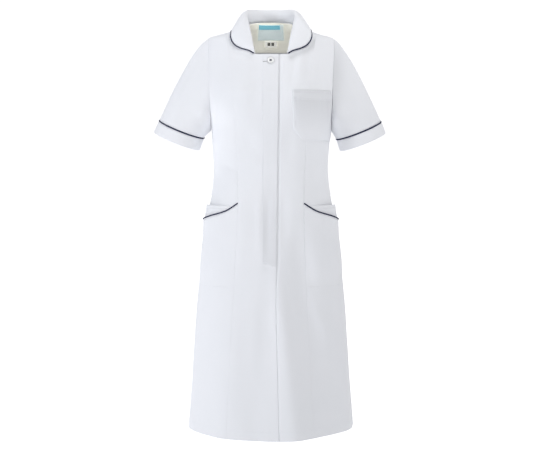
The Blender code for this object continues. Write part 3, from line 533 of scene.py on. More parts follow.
def spread(widths, count):
    """Shares across a row: close columns at both edges and even ones between."""
    near = np.array(CLOSE_STEPS)[None, :] / widths[:, None]
    even = np.linspace(0.0, 1.0, count)[None, :]
    inner = near[:, -1:] + even * (1.0 - 2.0 * near[:, -1:])
    return np.concatenate([near[:, :-1], inner, 1.0 - near[:, -2::-1]], axis=1)


def row_steps(low, high, step):
    """Heights from low to high with close rows at the low end."""
    reach = high - low - CLOSE_STEPS[-1]
    even = low + CLOSE_STEPS[-1] + np.linspace(0.0, 1.0, int(round(reach / step)) + 1) * reach
    return np.concatenate([low + np.array(CLOSE_STEPS[:-1]), even])


def arm_height(turn):
    middle = (SHOULDER_TIP_Z + UNDERARM_Z) / 2.0
    return middle + (SHOULDER_TIP_Z - middle) * np.cos(turn)


# z, x
ARMHOLE_SEAM = (
    (-257.0, 150.5),
    (-200.0, 151.5),
    (-145.0, 153.0),
    (-85.0, 156.5),
    (-55.0, 158.0),
    (-29.0, 158.5),
)
armhole_x_at = curve_through(ARMHOLE_SEAM)


def armhole_place(turn, side):
    """The armhole loop: turn is 0 at the shoulder and half round at the underarm."""
    z = arm_height(turn)
    face = np.where(np.sin(turn) >= -1e-9, 1, -1)
    return side * girth_at(armhole_x_at(z)[0], z, face), z


# The fronts: four panels joined by princess seams over the bust. The wearer's right front
# laps over the left one; its hidden row of fastenings is sewn off with a fly stitch.
PRINCESS_SEAM = (
    (-1016.0, 109.0),
    (-800.0, 99.0),
    (-600.0, 89.0),
    (-440.0, 82.0),
    (-300.0, 86.0),
    (-150.0, 95.0),
    (-90.0, 102.0),
    (-40.0, 110.0),
    (-14.0, 113.5),
)
LAP_EDGE = (
    (-1016.0, 19.0),
    (-860.0, 15.5),
    (-700.0, 11.5),
    (-600.0, 13.0),
    (-400.0, 15.0),
    (-80.0, 18.5),
)
FRONT_NECK = (
    (39.0, -72.0),
    (48.0, -67.0),
    (56.0, -56.0),
    (63.0, -38.0),
    (68.0, -16.0),
    (70.0, 0.0),
)
NECK_END_X = 39.0
NECK_FLAT = 4.0 / 9.0
ARM_STEPS = 14
SHOULDER_STEPS = 2
ROW_STEP = 5.0
ARM_ROWS_A_STEP = 4
ROWS_BELOW = 10000.0
CENTRE_COLUMNS = 60
SIDE_COLUMNS = 24
SIDE_LEAST_WIDTH = 30.0
# The left front lies lower where the lap covers it, and rises beside the lap over the blend.
UNDERLAP_X = -19.0
UNDERLAP_START = 0.3
UNDERLAP_GAP = 1.1
SKIRT_UNDERLAP_GAP = 0.3
UNDERLAP_BLEND = 9.0
SKIRT_UNDERLAP_BLEND = 2.6
SKIRT_BLEND = 60.0
# The fly: its long stitch line, the slanted end, its raised layers, and the painted shade over them,
# stronger on the skirt.
FLY_STITCH_X = -21.0
FLY_STITCH_DEPTH = 1.1
FLY_END_Z = -585.0
FLY_END_SLOPE = 0.28
FLY_RAISE = 0.5
FLY_EDGE = 2.5
FLY_END_EDGE = 3.0
FLY_GREY = 0.1
FLY_SKIRT_GREY = 0.42
FLY_SHADE_Z = -335.0
FLY_SHADE_BLEND = 180.0
# The shadow in the small hollow just below the fly.
HOLLOW_X = 6.0
HOLLOW_DOWN = 14.0
HOLLOW_HALF_WIDTH = 9.0
HOLLOW_HALF_HEIGHT = 10.0
HOLLOW_GREY = 0.2
# The button's place, and the soft shadow round it.
BUTTON_X = -1.0
BUTTON_Z = -89.0
BUTTON_RADIUS = 7.9
BUTTON_GREY = 0.75
BUTTON_SHADE_GAP = 1.2
BUTTON_SHADE_WIDTH = 1.8

princess_at = curve_through(PRINCESS_SEAM)
lap_edge_at = curve_through(LAP_EDGE)
front_neck_at = curve_through(tuple((i / 5.0, x, z) for i, (x, z) in enumerate(FRONT_NECK)))
skirt_z = row_steps(HEM_Z, UNDERARM_Z, ROW_STEP)[:-1]


def princess_height(t):
    """Height on the princess seam at step t above the underarm."""
    z = arm_height(math.pi * (1.0 - t / ARM_STEPS))
    middle = (SHOULDER_TIP_Z + UNDERARM_Z) / 2.0
    stretch = (PRINCESS_TOP_Z - middle) / (SHOULDER_TIP_Z - middle)
    return np.where(z > middle, middle + (z - middle) * stretch, z)


# The line on the fronts below the collar's edge, along which its shadow is painted.
# x, z
COLLAR_EDGE = ((108.0, -38.0), (103.0, -50.0), (90.0, -61.0), (66.0, -71.0), (50.0, -80.0))
COLLAR_SHADE_REACH = 7.5
COLLAR_GREYS = {-1: 0.25, 1: 1.0}
SEAM_DIPS = {-1: 0.14, 1: 0.55}
SEAM_DIP_REACH = 1.3
SKIRT_SEAM_DIP = 0.05
SEAM_FLAT_Z = -650.0
SEAM_TOP_Z = -250.0
SEAM_FADE_LOW = 60.0
SEAM_FADE_HIGH = 40.0
SEAM_RIDGE = 0.12
SEAM_RIDGE_AT = 5.0
SEAM_RIDGE_WIDTH = 3.0
PUCKER_HEIGHT = 0.12
PUCKER_LENGTH = 17.0
PUCKER_REACH = 7.0
HEM_PUCKERS = 4
HEM_LOW_FRONT = 5.0
HEM_HIGH_SIDES = 4.0
HEM_LOW_WIDTH = 105.0
HEM_DROP_TOP_Z = -880.0


def edge_dip(shares, widths, z, depth):
    """Cloth turns in at a seam: a shallow dip along both side edges of a grid, which the
    weight of the skirt pulls nearly flat below the pockets."""
    start = shares * widths[:, None]
    end = (1.0 - shares) * widths[:, None]
    bodice = (soft_step((z - SEAM_FLAT_Z) / SEAM_FADE_LOW)
              * soft_step((SEAM_TOP_Z - z) / SEAM_FADE_HIGH))
    deep = mix(SKIRT_SEAM_DIP, depth, bodice)
    return -deep * (np.exp(-(start / SEAM_DIP_REACH) ** 2) + np.exp(-(end / SEAM_DIP_REACH) ** 2))


def pucker(distance, along, seed):
    """Small ripples beside a sewn line, where the thread draws the cloth in."""
    wave = unevenness(along, along * 0.0, PUCKER_LENGTH, seed)
    return PUCKER_HEIGHT * wave * np.exp(-(distance / PUCKER_REACH) ** 2)


def sewn_edges(x, z, shares, widths, depth, seeds):
    """What the sewing does to a panel: its seams dip and pucker, and so does its hem. The
    seeds are those of its first and its last edge, and an edge with None has no puckers."""
    lift = edge_dip(shares, widths, z, depth)
    for seed, edge_share in zip(seeds, (shares, 1.0 - shares)):
        if seed is not None:
            lift = lift + pucker(edge_share * widths[:, None], z, seed)
    return lift + pucker(np.abs(z - HEM_FOLD_Z), x, HEM_PUCKERS)


def seam_ridge(distance):
    """The low ridge beside a princess seam, where its edges lie pressed behind the cloth."""
    return SEAM_RIDGE * np.exp(-((distance - SEAM_RIDGE_AT) / SEAM_RIDGE_WIDTH) ** 2)


def centre_front(side, edge_at, rise):
    """Girth, height, shares and widths of a centre front, on the rows given by rise."""
    steps = ARM_STEPS + SHOULDER_STEPS
    t = np.clip(rise, 0.0, steps)
    high = np.clip((t - ARM_STEPS) / SHOULDER_STEPS, 0.0, 1.0)
    z_far = np.where(t <= ARM_STEPS, princess_height(np.minimum(t, ARM_STEPS)),
                     mix(PRINCESS_TOP_Z, NECK_SIDE_Z, high))
    z_far = np.where(rise < 0.0, rise_z(rise), z_far)
    x_far = np.where(t <= ARM_STEPS, princess_at(z_far)[0], section_at(z_far)[0])
    z_near = np.where(rise < 0.0, rise_z(rise), mix(UNDERARM_Z, NECK_FRONT_Z, t / steps))
    x_near = edge_at(z_near)
    widths = np.abs(side * x_far - x_near)
    u = spread(widths, CENTRE_COLUMNS)
    round_neck = front_neck_at((u - NECK_FLAT) / (1.0 - NECK_FLAT))
    neck_edge = edge_at(np.array(NECK_FRONT_Z))
    neck_x = np.where(u < NECK_FLAT, mix(neck_edge, side * NECK_END_X, u / NECK_FLAT),
                      side * round_neck[0])
    neck_z = np.where(u < NECK_FLAT, NECK_FRONT_Z, round_neck[1])
    top_x = mix(neck_x[-1:, :1], neck_x[-1:, -1:], u)
    top_z = mix(neck_z[-1:, :1], neck_z[-1:, -1:], u)
    v = (t / steps)[:, None]
    x = mix(x_near[:, None], side * x_far[:, None], u) + v * (neck_x - top_x)
    z = mix(z_near[:, None], z_far[:, None], u) + v * (neck_z - top_z)
    return girth_at(x, z), z, u, widths


def rise_z(rise):
    """Rows below the underarm are numbered by their height, less ROWS_BELOW."""
    return rise + ROWS_BELOW


rises = np.concatenate([skirt_z - ROWS_BELOW,
                        np.linspace(0.0, ARM_STEPS + SHOULDER_STEPS,
                                    (ARM_STEPS + SHOULDER_STEPS) * ARM_ROWS_A_STEP + 1)])


def hem_drop(x, z, face):
    """How far the hem hangs below its level: low at centre front, high at the sides."""
    low = np.where(face > 0, HEM_LOW_FRONT * np.exp(-(x / HEM_LOW_WIDTH) ** 2), 0.0)
    high = HEM_HIGH_SIDES * soft_step((np.abs(x) - HEM_LOW_WIDTH) / HEM_LOW_WIDTH)
    return (low - high) * soft_step((HEM_DROP_TOP_Z - z) / (HEM_DROP_TOP_Z - HEM_Z))


def shaped(girth, z, extra):
    """Points and normals of cloth that lies on the form, moved out by extra."""
    points = body_point(girth, z)
    normals = body_normal(girth, z)
    face = np.where(np.cos(girth) >= 0.0, 1, -1)
    lift = creases(points[..., 0], z, face) + extra
    drop = hem_drop(points[..., 0], z, face)
    points = points + normals * lift[..., None]
    points[..., 2] -= drop
    return points, normals


def near_collar(x, z, side):
    """Painted shadow on the cloth close under the turned-down edge of the collar."""
    grey = np.zeros(x.shape)
    for (x_a, z_a), (x_b, z_b) in zip(COLLAR_EDGE, COLLAR_EDGE[1:]):
        length = math.hypot(x_b - x_a, z_b - z_a)
        along = ((np.abs(x) - x_a) * (x_b - x_a) + (z - z_a) * (z_b - z_a)) / length ** 2
        along = np.clip(along, 0.0, 1.0)
        gap = np.hypot(np.abs(x) - mix(x_a, x_b, along), z - mix(z_a, z_b, along))
        grey = np.maximum(grey, np.exp(-(gap / COLLAR_SHADE_REACH) ** 2))
    return COLLAR_GREYS[side] * grey


def hem_mark(z):
    return np.where(z <= HEM_FOLD_Z, 1.0, 0.5)


def belongs(piece, slot, *nodes):
    """Hang a finished piece on the dress, and hide the solids whose place it takes. Its look, the argument
    slot, is not used.
    """
    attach(piece, "root")
    if nodes:
        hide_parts(*nodes)


girth, z, u, widths = centre_front(-1, lambda z: lap_edge_at(z)[0], rises)
x = body_point(girth, z)[..., 0]
past_fly = x - FLY_STITCH_X
above_end = z - FLY_END_Z + past_fly * FLY_END_SLOPE
stitched = np.where(z > FLY_END_Z, np.abs(past_fly) + FLY_STITCH_DEPTH,
                    np.hypot(past_fly, z - FLY_END_Z))
stitched = np.minimum(stitched, np.where(past_fly > 0.0, np.abs(above_end), FAR_FROM_STITCH))
stitched = np.minimum(stitched, np.abs(z - HEM_FOLD_Z))
inside = soft_step(past_fly / FLY_EDGE) * soft_step(above_end / FLY_END_EDGE)
extra = sewn_edges(x, z, u, widths, SEAM_DIPS[-1], (None, 3))
extra = extra + seam_ridge((1.0 - u) * widths[:, None]) + FLY_RAISE * inside
from_button = np.hypot(x - BUTTON_X, z - BUTTON_Z) - BUTTON_RADIUS - BUTTON_SHADE_GAP
hollow_across = (past_fly - HOLLOW_X) / HOLLOW_HALF_WIDTH
hollow_up = (z - FLY_END_Z + HOLLOW_DOWN) / HOLLOW_HALF_HEIGHT
# Painted shade over the fly, round the button, in the hollow below the fly and under the collar.
shade = inside * mix(FLY_GREY, FLY_SKIRT_GREY, soft_step((FLY_SHADE_Z - z) / FLY_SHADE_BLEND))
shade = shade + BUTTON_GREY * np.exp(-(from_button / BUTTON_SHADE_WIDTH) ** 2)
shade = shade + HOLLOW_GREY * np.exp(-hollow_across ** 2 - hollow_up ** 2)
shade = shade + near_collar(x, z, -1)
points, normals = shaped(girth, z, extra)
front_centre_right = sew_panel("twill_front_centre_right", points, normals, white_twill,
                               stitch=stitched, hem=hem_mark(z), shade=shade)

girth, z, u, widths = centre_front(1, lambda z: UNDERLAP_X + 0.0 * z, rises)
x = body_point(girth, z)[..., 0]
skirt = soft_step((FLY_END_Z - z) / SKIRT_BLEND)
drop = np.where(z <= HEM_FOLD_Z, 2.0 * CLOTH, CLOTH) + mix(UNDERLAP_GAP, SKIRT_UNDERLAP_GAP, skirt)
past_lap = x - lap_edge_at(z)[0] - UNDERLAP_START
under = 1.0 - soft_step(past_lap / mix(UNDERLAP_BLEND, SKIRT_UNDERLAP_BLEND, skirt))
extra = sewn_edges(x, z, u, widths, SEAM_DIPS[1], (None, 5))
extra = extra + seam_ridge((1.0 - u) * widths[:, None]) - drop * under
points, normals = shaped(girth, z, extra)
# Painted shadow under the collar on this front.
front_centre_left = sew_panel("twill_front_centre_left", points, normals, white_twill,
                              stitch=np.abs(z - HEM_FOLD_Z), hem=hem_mark(z),
                              shade=near_collar(x, z, 1))


def side_front(side, rise):
    """Girth, height, shares and widths of a side front, from princess seam to side seam."""
    t = np.clip(rise, 0.0, ARM_STEPS)
    near_z = np.where(rise < 0.0, rise_z(rise), princess_height(t))
    near = side * girth_at(princess_at(near_z)[0], near_z)
    far, far_z = armhole_place(math.pi * (1.0 - t / ARM_STEPS), side)
    far_z = np.where(rise < 0.0, rise_z(rise), far_z)
    far = np.where(rise < 0.0, side * math.pi / 2.0, far)
    widths = np.linalg.norm(body_point(near, near_z) - body_point(far, far_z), axis=-1)
    widths = np.maximum(widths, SIDE_LEAST_WIDTH)
    u = spread(widths, SIDE_COLUMNS)
    return mix(near[:, None], far[:, None], u), mix(near_z[:, None], far_z[:, None], u), u, widths


side_rises = rises[rises <= ARM_STEPS]
side_fronts = {}
for word, side in (("right", -1), ("left", 1)):
    girth, z, u, widths = side_front(side, side_rises)
    x = body_point(girth, z)[..., 0]
    extra = sewn_edges(x, z, u, widths, SEAM_DIPS[side], (7 + side, 11 + side))
    points, normals = shaped(girth, z, extra)
    side_fronts[word] = sew_panel("twill_front_side_" + word, points, normals, white_twill,
                                  stitch=np.abs(z - HEM_FOLD_Z), hem=hem_mark(z))

# piece, node, size before sewing and area of its cloth in metres
FRONT_CUTS = (
    (front_centre_right, "front_centre_right", (0.15, 1.02), 0.112),
    (front_centre_left, "front_centre_left", (0.15, 1.02), 0.117),
    (side_fronts["right"], "front_side_right", (0.17, 1.02), 0.142),
    (side_fronts["left"], "front_side_left", (0.17, 1.02), 0.142),
)
for piece, node, cut, cloth_area in FRONT_CUTS:
    belongs(piece, "white_twill", node)


# The back: three panels of the same twill with seams over the shoulder blades, sewn to the
# fronts at the sides and shoulders. The seams shape the waist and end under the collar.
BACK_SHOULDER_STEPS = 3
BACK_COLUMNS = 30
BACK_LEAST_WIDTH = 24.0
NECK_ARCH_POWER = 0.7
# name, where it starts on the way round the back, width before sewing and area in metres
BACK_PANELS = (
    ("back_side_left", 0.0, 0.17, 0.146),
    ("back_centre", 1.0 / 3.0, 0.22, 0.194),
    ("back_side_right", 2.0 / 3.0, 0.17, 0.146),
)

back_steps = ARM_STEPS + BACK_SHOULDER_STEPS + SHOULDER_STEPS
back_rises = np.concatenate([skirt_z - ROWS_BELOW,
                             np.linspace(0.0, back_steps, back_steps * ARM_ROWS_A_STEP + 1)])
t = np.clip(back_rises, 0.0, back_steps)
girth_end, z_end = armhole_place(-math.pi * (1.0 - np.minimum(t, ARM_STEPS) / ARM_STEPS), 1)
slope = np.clip((t - ARM_STEPS) / BACK_SHOULDER_STEPS, 0.0, 1.0)
last = np.clip((t - ARM_STEPS - BACK_SHOULDER_STEPS) / SHOULDER_STEPS, 0.0, 1.0)
shoulder_z = mix(SHOULDER_TIP_Z, PRINCESS_TOP_Z, slope) + (NECK_SIDE_Z - PRINCESS_TOP_Z) * last
z_end = np.where(t > ARM_STEPS, shoulder_z, z_end)
girth_end = np.where(t > ARM_STEPS, math.pi / 2.0, girth_end)
z_end = np.where(back_rises < 0.0, rise_z(back_rises), z_end)
girth_end = np.where(back_rises < 0.0, math.pi / 2.0, girth_end)


def neck_arch(share):
    """How much of the back neck's height a place has, at a share of the way round the back."""
    return np.maximum(np.sin(math.pi * np.clip(share, 0.0, 1.0)), 0.0) ** NECK_ARCH_POWER


def hump(z):
    """How far the cloth rises at centre back, above the same row at the sides."""
    return (NECK_BACK_Z - NECK_SIDE_Z) * soft_step((z - UNDERARM_Z) / (NECK_SIDE_Z - UNDERARM_Z))


def on_back(girth, z, share):
    """Girth and height of the back at shares of the way round it, from left to right."""
    return mix(girth, 2.0 * math.pi - girth, share), z + hump(z) * neck_arch(share)


for name, first, cut_width, cloth_area in BACK_PANELS:
    start = body_point(*on_back(girth_end, z_end, first))
    end = body_point(*on_back(girth_end, z_end, first + 1.0 / 3.0))
    widths = np.maximum(np.linalg.norm(start - end, axis=-1), BACK_LEAST_WIDTH)
    u = spread(widths, BACK_COLUMNS)
    girth, z = on_back(girth_end[:, None], z_end[:, None], first + u / 3.0)
    x = body_point(girth, z)[..., 0]
    points, normals = shaped(girth, z, sewn_edges(x, z, u, widths, SEAM_DIPS[1], (21, 22)))
    back = sew_panel("twill_" + name, points, normals, white_twill,
                     stitch=np.abs(z - HEM_FOLD_Z), hem=hem_mark(z))
    belongs(back, "white_twill", name)


# The sleeves: short set-in sleeves of the twill, with turned-up cuffs edged with navy piping.
# side, piping_x, piping_z, edge_x, edge_z
SLEEVES = (
    ("right", -1, 226.0, -256.0, 239.0, -286.0),
    ("left", 1, 222.0, -259.0, 233.0, -288.0),
)
CUFF_TOP_HALF = 61.0
CUFF_EDGE_HALF = 62.0
CUFF_DEPTH = 49.0
CUFF_FRONT_DIP = 7.0
CUFF_SLOPE = math.radians(21.5)
CUFF_EASE = 0.3
CUFF_CLOTH = 2.2
SLEEVE_TOP_FALL = math.radians(28.0)
SLEEVE_TOP_FULLNESS = {-1: 0.55, 1: 0.46}
ARMHOLE_DIPS = {-1: 0.05, 1: 1.1}
# Painted shade on the front of each sleeve beside its armhole.
ARMHOLE_GREYS = {-1: 0.1, 1: 0.9}
SLEEVE_AXIS_FALL = math.radians(65.0)
SEAM_GAP = 0.3
PIPING_RADIUS = 1.6
CUFF_PIPING_RADIUS = 1.8
CUFF_PIPING_SINK = 0.4
RING_COLUMNS = 97
SLEEVE_ROWS = np.concatenate([[0.0, 0.0025, 0.008, 0.02], np.linspace(0.045, 1.0, 36)])
CUFF_ROWS = np.array([0.0, 0.04, 0.12, 0.3, 0.5, 0.7, 0.88, 0.96, 1.0])
# Lengths in millimetres that stand for one radian round the arm and for the way down it.
ARM_RADIUS = 60.0
SLEEVE_LENGTH = 130.0
CUFF_LENGTH = 30.0
# Shares of the sleeve's length: the dip at the armhole, the reach of the painted shade beside it, the
# stretch by the cuff, and the calm last stretch.
ARMHOLE_DIP_REACH = 0.012
ARMHOLE_SHADE_REACH = 0.3
CUFF_SHARE = 0.1
CALM_SHARE = 0.15
CALM = 0.7
SLEEVE_WAVE = 0.35
SLEEVE_WAVE_SIZE = 60.0
CUFF_WAVE_SIZE = 45.0
CUFF_ROLL = 0.7
CUFF_ROLL_SHARE = 0.05
CREASE_START = 0.3
CREASE_LEAD = 0.2
CREASE_FINISH = 0.45
# Creases in the sleeves, the same on both, in turns round the arm and shares down it.
# side, turn, share, end_turn, end_share, half_width (turn), height
SLEEVE_CREASES = (
    (-1, 2.55, 0.05, 1.55, 0.62, 0.16, 2.6),
    (-1, 2.15, 0.0, 1.25, 0.45, 0.13, -2.2),
    (-1, 1.05, 0.1, 0.85, 0.95, 0.22, 1.6),
    (-1, 3.6, 0.05, 4.5, 0.6, 0.2, 2.2),
    (1, 2.6, 0.05, 1.7, 0.6, 0.16, 2.4),
    (1, 2.2, 0.0, 1.3, 0.5, 0.14, -2.6),
    (1, 1.0, 0.15, 1.1, 0.95, 0.2, 1.6),
    (1, 3.7, 0.05, 4.6, 0.6, 0.2, 2.2),
)


def ring_frame(side, ring_x, ring_z, half):
    """The oval of a cuff: its centre, and its half widths outwards and forwards."""
    centre = np.array([side * ring_x, 0.0, ring_z])
    outwards = np.array([side * half * math.cos(CUFF_SLOPE), 0.0, half * math.sin(CUFF_SLOPE)])
    forwards = np.array([0.0, -CUFF_DEPTH, -CUFF_FRONT_DIP])
    return centre, outwards, forwards


def ring_point(ring, turn, grow=0.0):
    """Points of such an oval, which can be a little larger all round."""
    centre, outwards, forwards = ring
    across = outwards * (1.0 + grow / np.linalg.norm(outwards))
    ahead = forwards * (1.0 + grow / np.linalg.norm(forwards))
    return centre + across * np.cos(turn)[..., None] + ahead * np.sin(turn)[..., None]


def sleeve_point(side, ring, turn, share):
    """Points of a sleeve, from the armhole (share 0) to its cuff's oval (share 1)."""
    girth, z = armhole_place((turn + math.pi) % (2.0 * math.pi) - math.pi, side)
    start = body_point(girth, z) + np.array([side * SEAM_GAP, 0.0, 0.0])
    end = ring_point(ring, turn)
    reach = np.linalg.norm(end - start, axis=-1, keepdims=True)
    low = (1.0 - np.cos(turn)) / 2.0
    fall = mix(SLEEVE_TOP_FALL, SLEEVE_AXIS_FALL, low)
    fullness = mix(SLEEVE_TOP_FULLNESS[side], 1.0, low)
    way = np.stack([side * np.cos(fall), 0.0 * fall, -np.sin(fall)], -1)
    leave = way * reach * fullness[..., None]
    axis = np.array([side * math.cos(SLEEVE_AXIS_FALL), 0.0, -math.sin(SLEEVE_AXIS_FALL)]) * reach
    s = share[..., None]
    point = start * ((1 + 2 * s) * (1 - s) ** 2) + end * (s * s * (3 - 2 * s))
    return point + leave * (s * (1 - s) ** 2) + axis * (s * s * (s - 1))


def grid_normals(points, ring=False):
    """Normals of a grid of points, by the points on either side."""
    if ring:
        wide = np.concatenate([points[:, -2:-1], points, points[:, 1:2]], axis=1)
        along = wide[:, 2:] - wide[:, :-2]
    else:
        along = np.gradient(points, axis=1)
    return unit(np.cross(along, np.gradient(points, axis=0)))


def outward_normals(points):
    """Normals of a closed band, away from its middle."""
    normals = grid_normals(points, ring=True)
    middle = points.mean(axis=1, keepdims=True)
    inwards = float(np.sum(normals * (points - middle))) < 0.0
    return -normals if inwards else normals


def sleeve_creases(side, turn, share):
    """The creases of one sleeve, in millimetres."""
    height = np.zeros(turn.shape)
    for crease_side, turn_a, share_a, turn_b, share_b, half_width, crease_height in SLEEVE_CREASES:
        if crease_side == side:
            length = math.hypot(turn_b - turn_a, share_b - share_a)
            way_t = (turn_b - turn_a) / length
            way_s = (share_b - share_a) / length
            along = ((turn - turn_a) * way_t + (share - share_a) * way_s) / length
            off = (turn - turn_a) * way_s - (share - share_a) * way_t
            ends = (soft_step(along / CREASE_START + CREASE_LEAD)
                    * soft_step((1.0 - along) / CREASE_FINISH))
            height = height + crease_height * ends * np.exp(-(off / half_width) ** 2)
    return height


def cord_along(name, path, radius, material, closed=False):
    """A round cord of cloth along a path in millimetres."""
    curve = bpy.data.curves.new(name, "CURVE")
    curve.dimensions = "3D"
    curve.bevel_depth = radius * MM
    curve.bevel_resolution = 3
    curve.use_fill_caps = not closed
    spline = curve.splines.new("POLY")
    spline.points.add(len(path) - 1)
    spline.use_cyclic_u = closed
    for knot, point in zip(spline.points, path):
        knot.co = (*(np.asarray(point) * MM), 1.0)
    holder = bpy.data.objects.new(name + "_path", curve)
    bpy.context.scene.collection.objects.link(holder)
    bpy.context.view_layer.update()
    mesh = bpy.data.meshes.new_from_object(holder.evaluated_get(bpy.context.evaluated_depsgraph_get()))
    bpy.data.objects.remove(holder, do_unlink=True)
    bm = bmesh.new()
    bm.from_mesh(mesh)
    bmesh.ops.remove_doubles(bm, verts=bm.verts, dist=MERGE_DISTANCE * MM)
    bmesh.ops.recalc_face_normals(bm, faces=bm.faces)
    bpy.data.meshes.remove(mesh)
    return add_piece(name, bm, material)


# The piping: a bias strip of plain navy cotton over a cord. It is dull and a little hairy.
navy_bias, tree = new_material("navy_cotton_bias")
place = add_node(tree, "ShaderNodeTexCoord")
hairs = add_node(tree, "ShaderNodeTexNoise", None,
                 {"Vector": (place, "Object"), "Scale": 900.0, "Detail": 3.0})
grain = add_node(tree, "ShaderNodeTexVoronoi", {"feature": "F1"},
                 {"Vector": (place, "Object"), "Scale": 1100.0})
tint = two_tints(tree, (hairs, "Fac"), "#0A1136", "#121B47")
grainy = add_node(tree, "ShaderNodeBump", None,
                  {"Strength": 0.5, "Distance": 0.0003, "Height": (grain, "Distance")})
add_surface(tree, {"Base Color": (tint, 2), "Roughness": 0.82, "Normal": (grainy, "Normal"),
                   "Sheen Weight": 0.06, "Sheen Roughness": 0.5})

for word, side, piping_x, piping_z, edge_x, edge_z in SLEEVES:
    seam_ring = ring_frame(side, piping_x, piping_z, CUFF_TOP_HALF)
    edge_ring = ring_frame(side, edge_x, edge_z, CUFF_EDGE_HALF)
    axis = unit(edge_ring[0] - seam_ring[0])
    full_turn = np.linspace(0.0, 2.0 * math.pi, RING_COLUMNS)
    turn, share = np.meshgrid(full_turn, SLEEVE_ROWS)
    points = sleeve_point(side, seam_ring, turn, share)
    points = points - axis * (PIPING_RADIUS * soft_step((share - 1.0 + CUFF_SHARE) / CUFF_SHARE))[..., None]
    normals = outward_normals(points)
    lift = SLEEVE_WAVE * unevenness(turn * ARM_RADIUS, share * SLEEVE_LENGTH, SLEEVE_WAVE_SIZE, 31 + side)
    lift = lift * soft_step(share / 0.2) * soft_step((1.0 - share) / CUFF_SHARE)
    lift = lift - ARMHOLE_DIPS[side] * np.exp(-(share / ARMHOLE_DIP_REACH) ** 2)
    lift = lift + sleeve_creases(side, turn, share)
    lift = lift * (1.0 - CALM * soft_step((share - 1.0 + CALM_SHARE) / CALM_SHARE))
    points = points + normals * lift[..., None]
    points[:, -1] = points[:, 0]
    # Painted shade on the sleeve's front near the armhole.
    shade = ARMHOLE_GREYS[side] * np.exp(-(share / ARMHOLE_SHADE_REACH) ** 2)
    shade = shade * np.clip(np.sin(turn), 0.0, 1.0)
    sleeve = sew_panel("twill_sleeve_" + word, points, normals, white_twill, ring=True, shade=shade)

    turn, share = np.meshgrid(full_turn, CUFF_ROWS)
    high = ring_point(seam_ring, turn, CUFF_EASE) + axis * PIPING_RADIUS
    low = ring_point(edge_ring, turn, CUFF_EASE)
    points = mix(high, low, share[..., None])
    normals = outward_normals(points)
    lift = (-CUFF_ROLL * (np.exp(-(share / CUFF_ROLL_SHARE) ** 2)
                          + np.exp(-((1.0 - share) / CUFF_ROLL_SHARE) ** 2))
            + SLEEVE_WAVE * unevenness(turn * ARM_RADIUS, share * CUFF_LENGTH, CUFF_WAVE_SIZE, 41 + side))
    points = points + normals * lift[..., None]
    points[:, -1] = points[:, 0]
    cuff = sew_panel("twill_cuff_" + word, points, normals, white_twill,
                     thickness=CUFF_CLOTH, ring=True)

    path = ring_point(seam_ring, full_turn[:-1], -CUFF_PIPING_SINK)
    piping = cord_along("navy_cuff_piping_" + word, path, CUFF_PIPING_RADIUS, navy_bias,
                        closed=True)
    belongs(sleeve, "white_twill", "sleeve_" + word)
    belongs(cuff, "white_twill", "cuff_" + word)
    belongs(piping, "navy_piping", "cuff_piping_" + word)


# The collar: a round turned-down collar of twill on its own stand, edged with navy piping.
# The roll stands clear of the neck; the fall rests on the fronts and the back.
# roll_x, roll_y, roll_z, edge_face, edge_x, edge_z
COLLAR_STATIONS = (
    (0.0, 66.0, 50.0, -1, 0.0, -12.0),
    (22.0, 64.0, 50.0, -1, 34.0, -12.0),
    (42.0, 53.0, 49.5, -1, 64.0, -12.0),
    (56.0, 34.0, 48.0, -1, 84.0, -12.0),
    (60.5, 10.0, 41.0, 0, 98.0, -9.2),
    (60.0, -14.0, 27.0, 1, 99.0, -22.0),
    (56.5, -36.0, 8.0, 1, 96.0, -36.0),
    (51.5, -54.0, -14.0, 1, 87.0, -49.0),
    (46.5, -67.0, -36.0, 1, 71.0, -57.5),
    (42.5, -74.5, -55.0, 1, 54.0, -62.5),
    (39.5, -78.0, -68.5, 1, 42.0, -69.0),
)
COLLAR_STEPS = 60
COLLAR_STAND_STEPS = 9
COLLAR_FALL_STEPS = 16
COLLAR_REST = 1.5
COLLAR_CLOTH = 1.6
COLLAR_LIFT_LEFT = 3.5
COLLAR_RIDGE_SHARE = 0.4
STAND_LEAD = 0.45
STAND_CURL = 0.22
ROLL_LEAD = 0.24
EDGE_LEAD = 0.35
EDGE_LIFT = 0.12
EDGE_OUT = 20.0
FALL_SPACING = 1.15
NECK_PROBE = 0.01
COLLAR_HALF_GIRTH = 200.0
COLLAR_WIDTH = 60.0
COLLAR_WAVE = 0.4
COLLAR_WAVE_SIZE = 50.0
COLLAR_STITCH = 3.0
COLLAR_STITCH_DEPTH = 1.2

collar_at = curve_through(tuple((i / 10.0, *row) for i, row in enumerate(COLLAR_STATIONS)))


def neck_place(share):
    """The neck seam from centre back (0) over the shoulder (0.5) to the collar end (1)."""
    front_x, front_z = front_neck_at(2.0 - 2.0 * share)
    round_back = 1.0 - 2.0 * share
    back_z = NECK_SIDE_Z + (NECK_BACK_Z - NECK_SIDE_Z) * neck_arch(1.0 - 0.5 * round_back)
    front = share >= 0.5
    return (np.where(front, girth_at(front_x, front_z), math.pi / 2.0 * (1.0 + round_back)),
            np.where(front, front_z, back_z))


def outside_value(points):
    """Above 1 outside the plain sections of the dress and below 1 inside them."""
    half_width, front, back, face_power, side_power = section_at(points[..., 2])
    depth = np.where(points[..., 1] < 0.0, front, back)
    x = np.abs(points[..., 0]) / half_width
    return x ** face_power + (np.abs(points[..., 1]) / depth) ** side_power


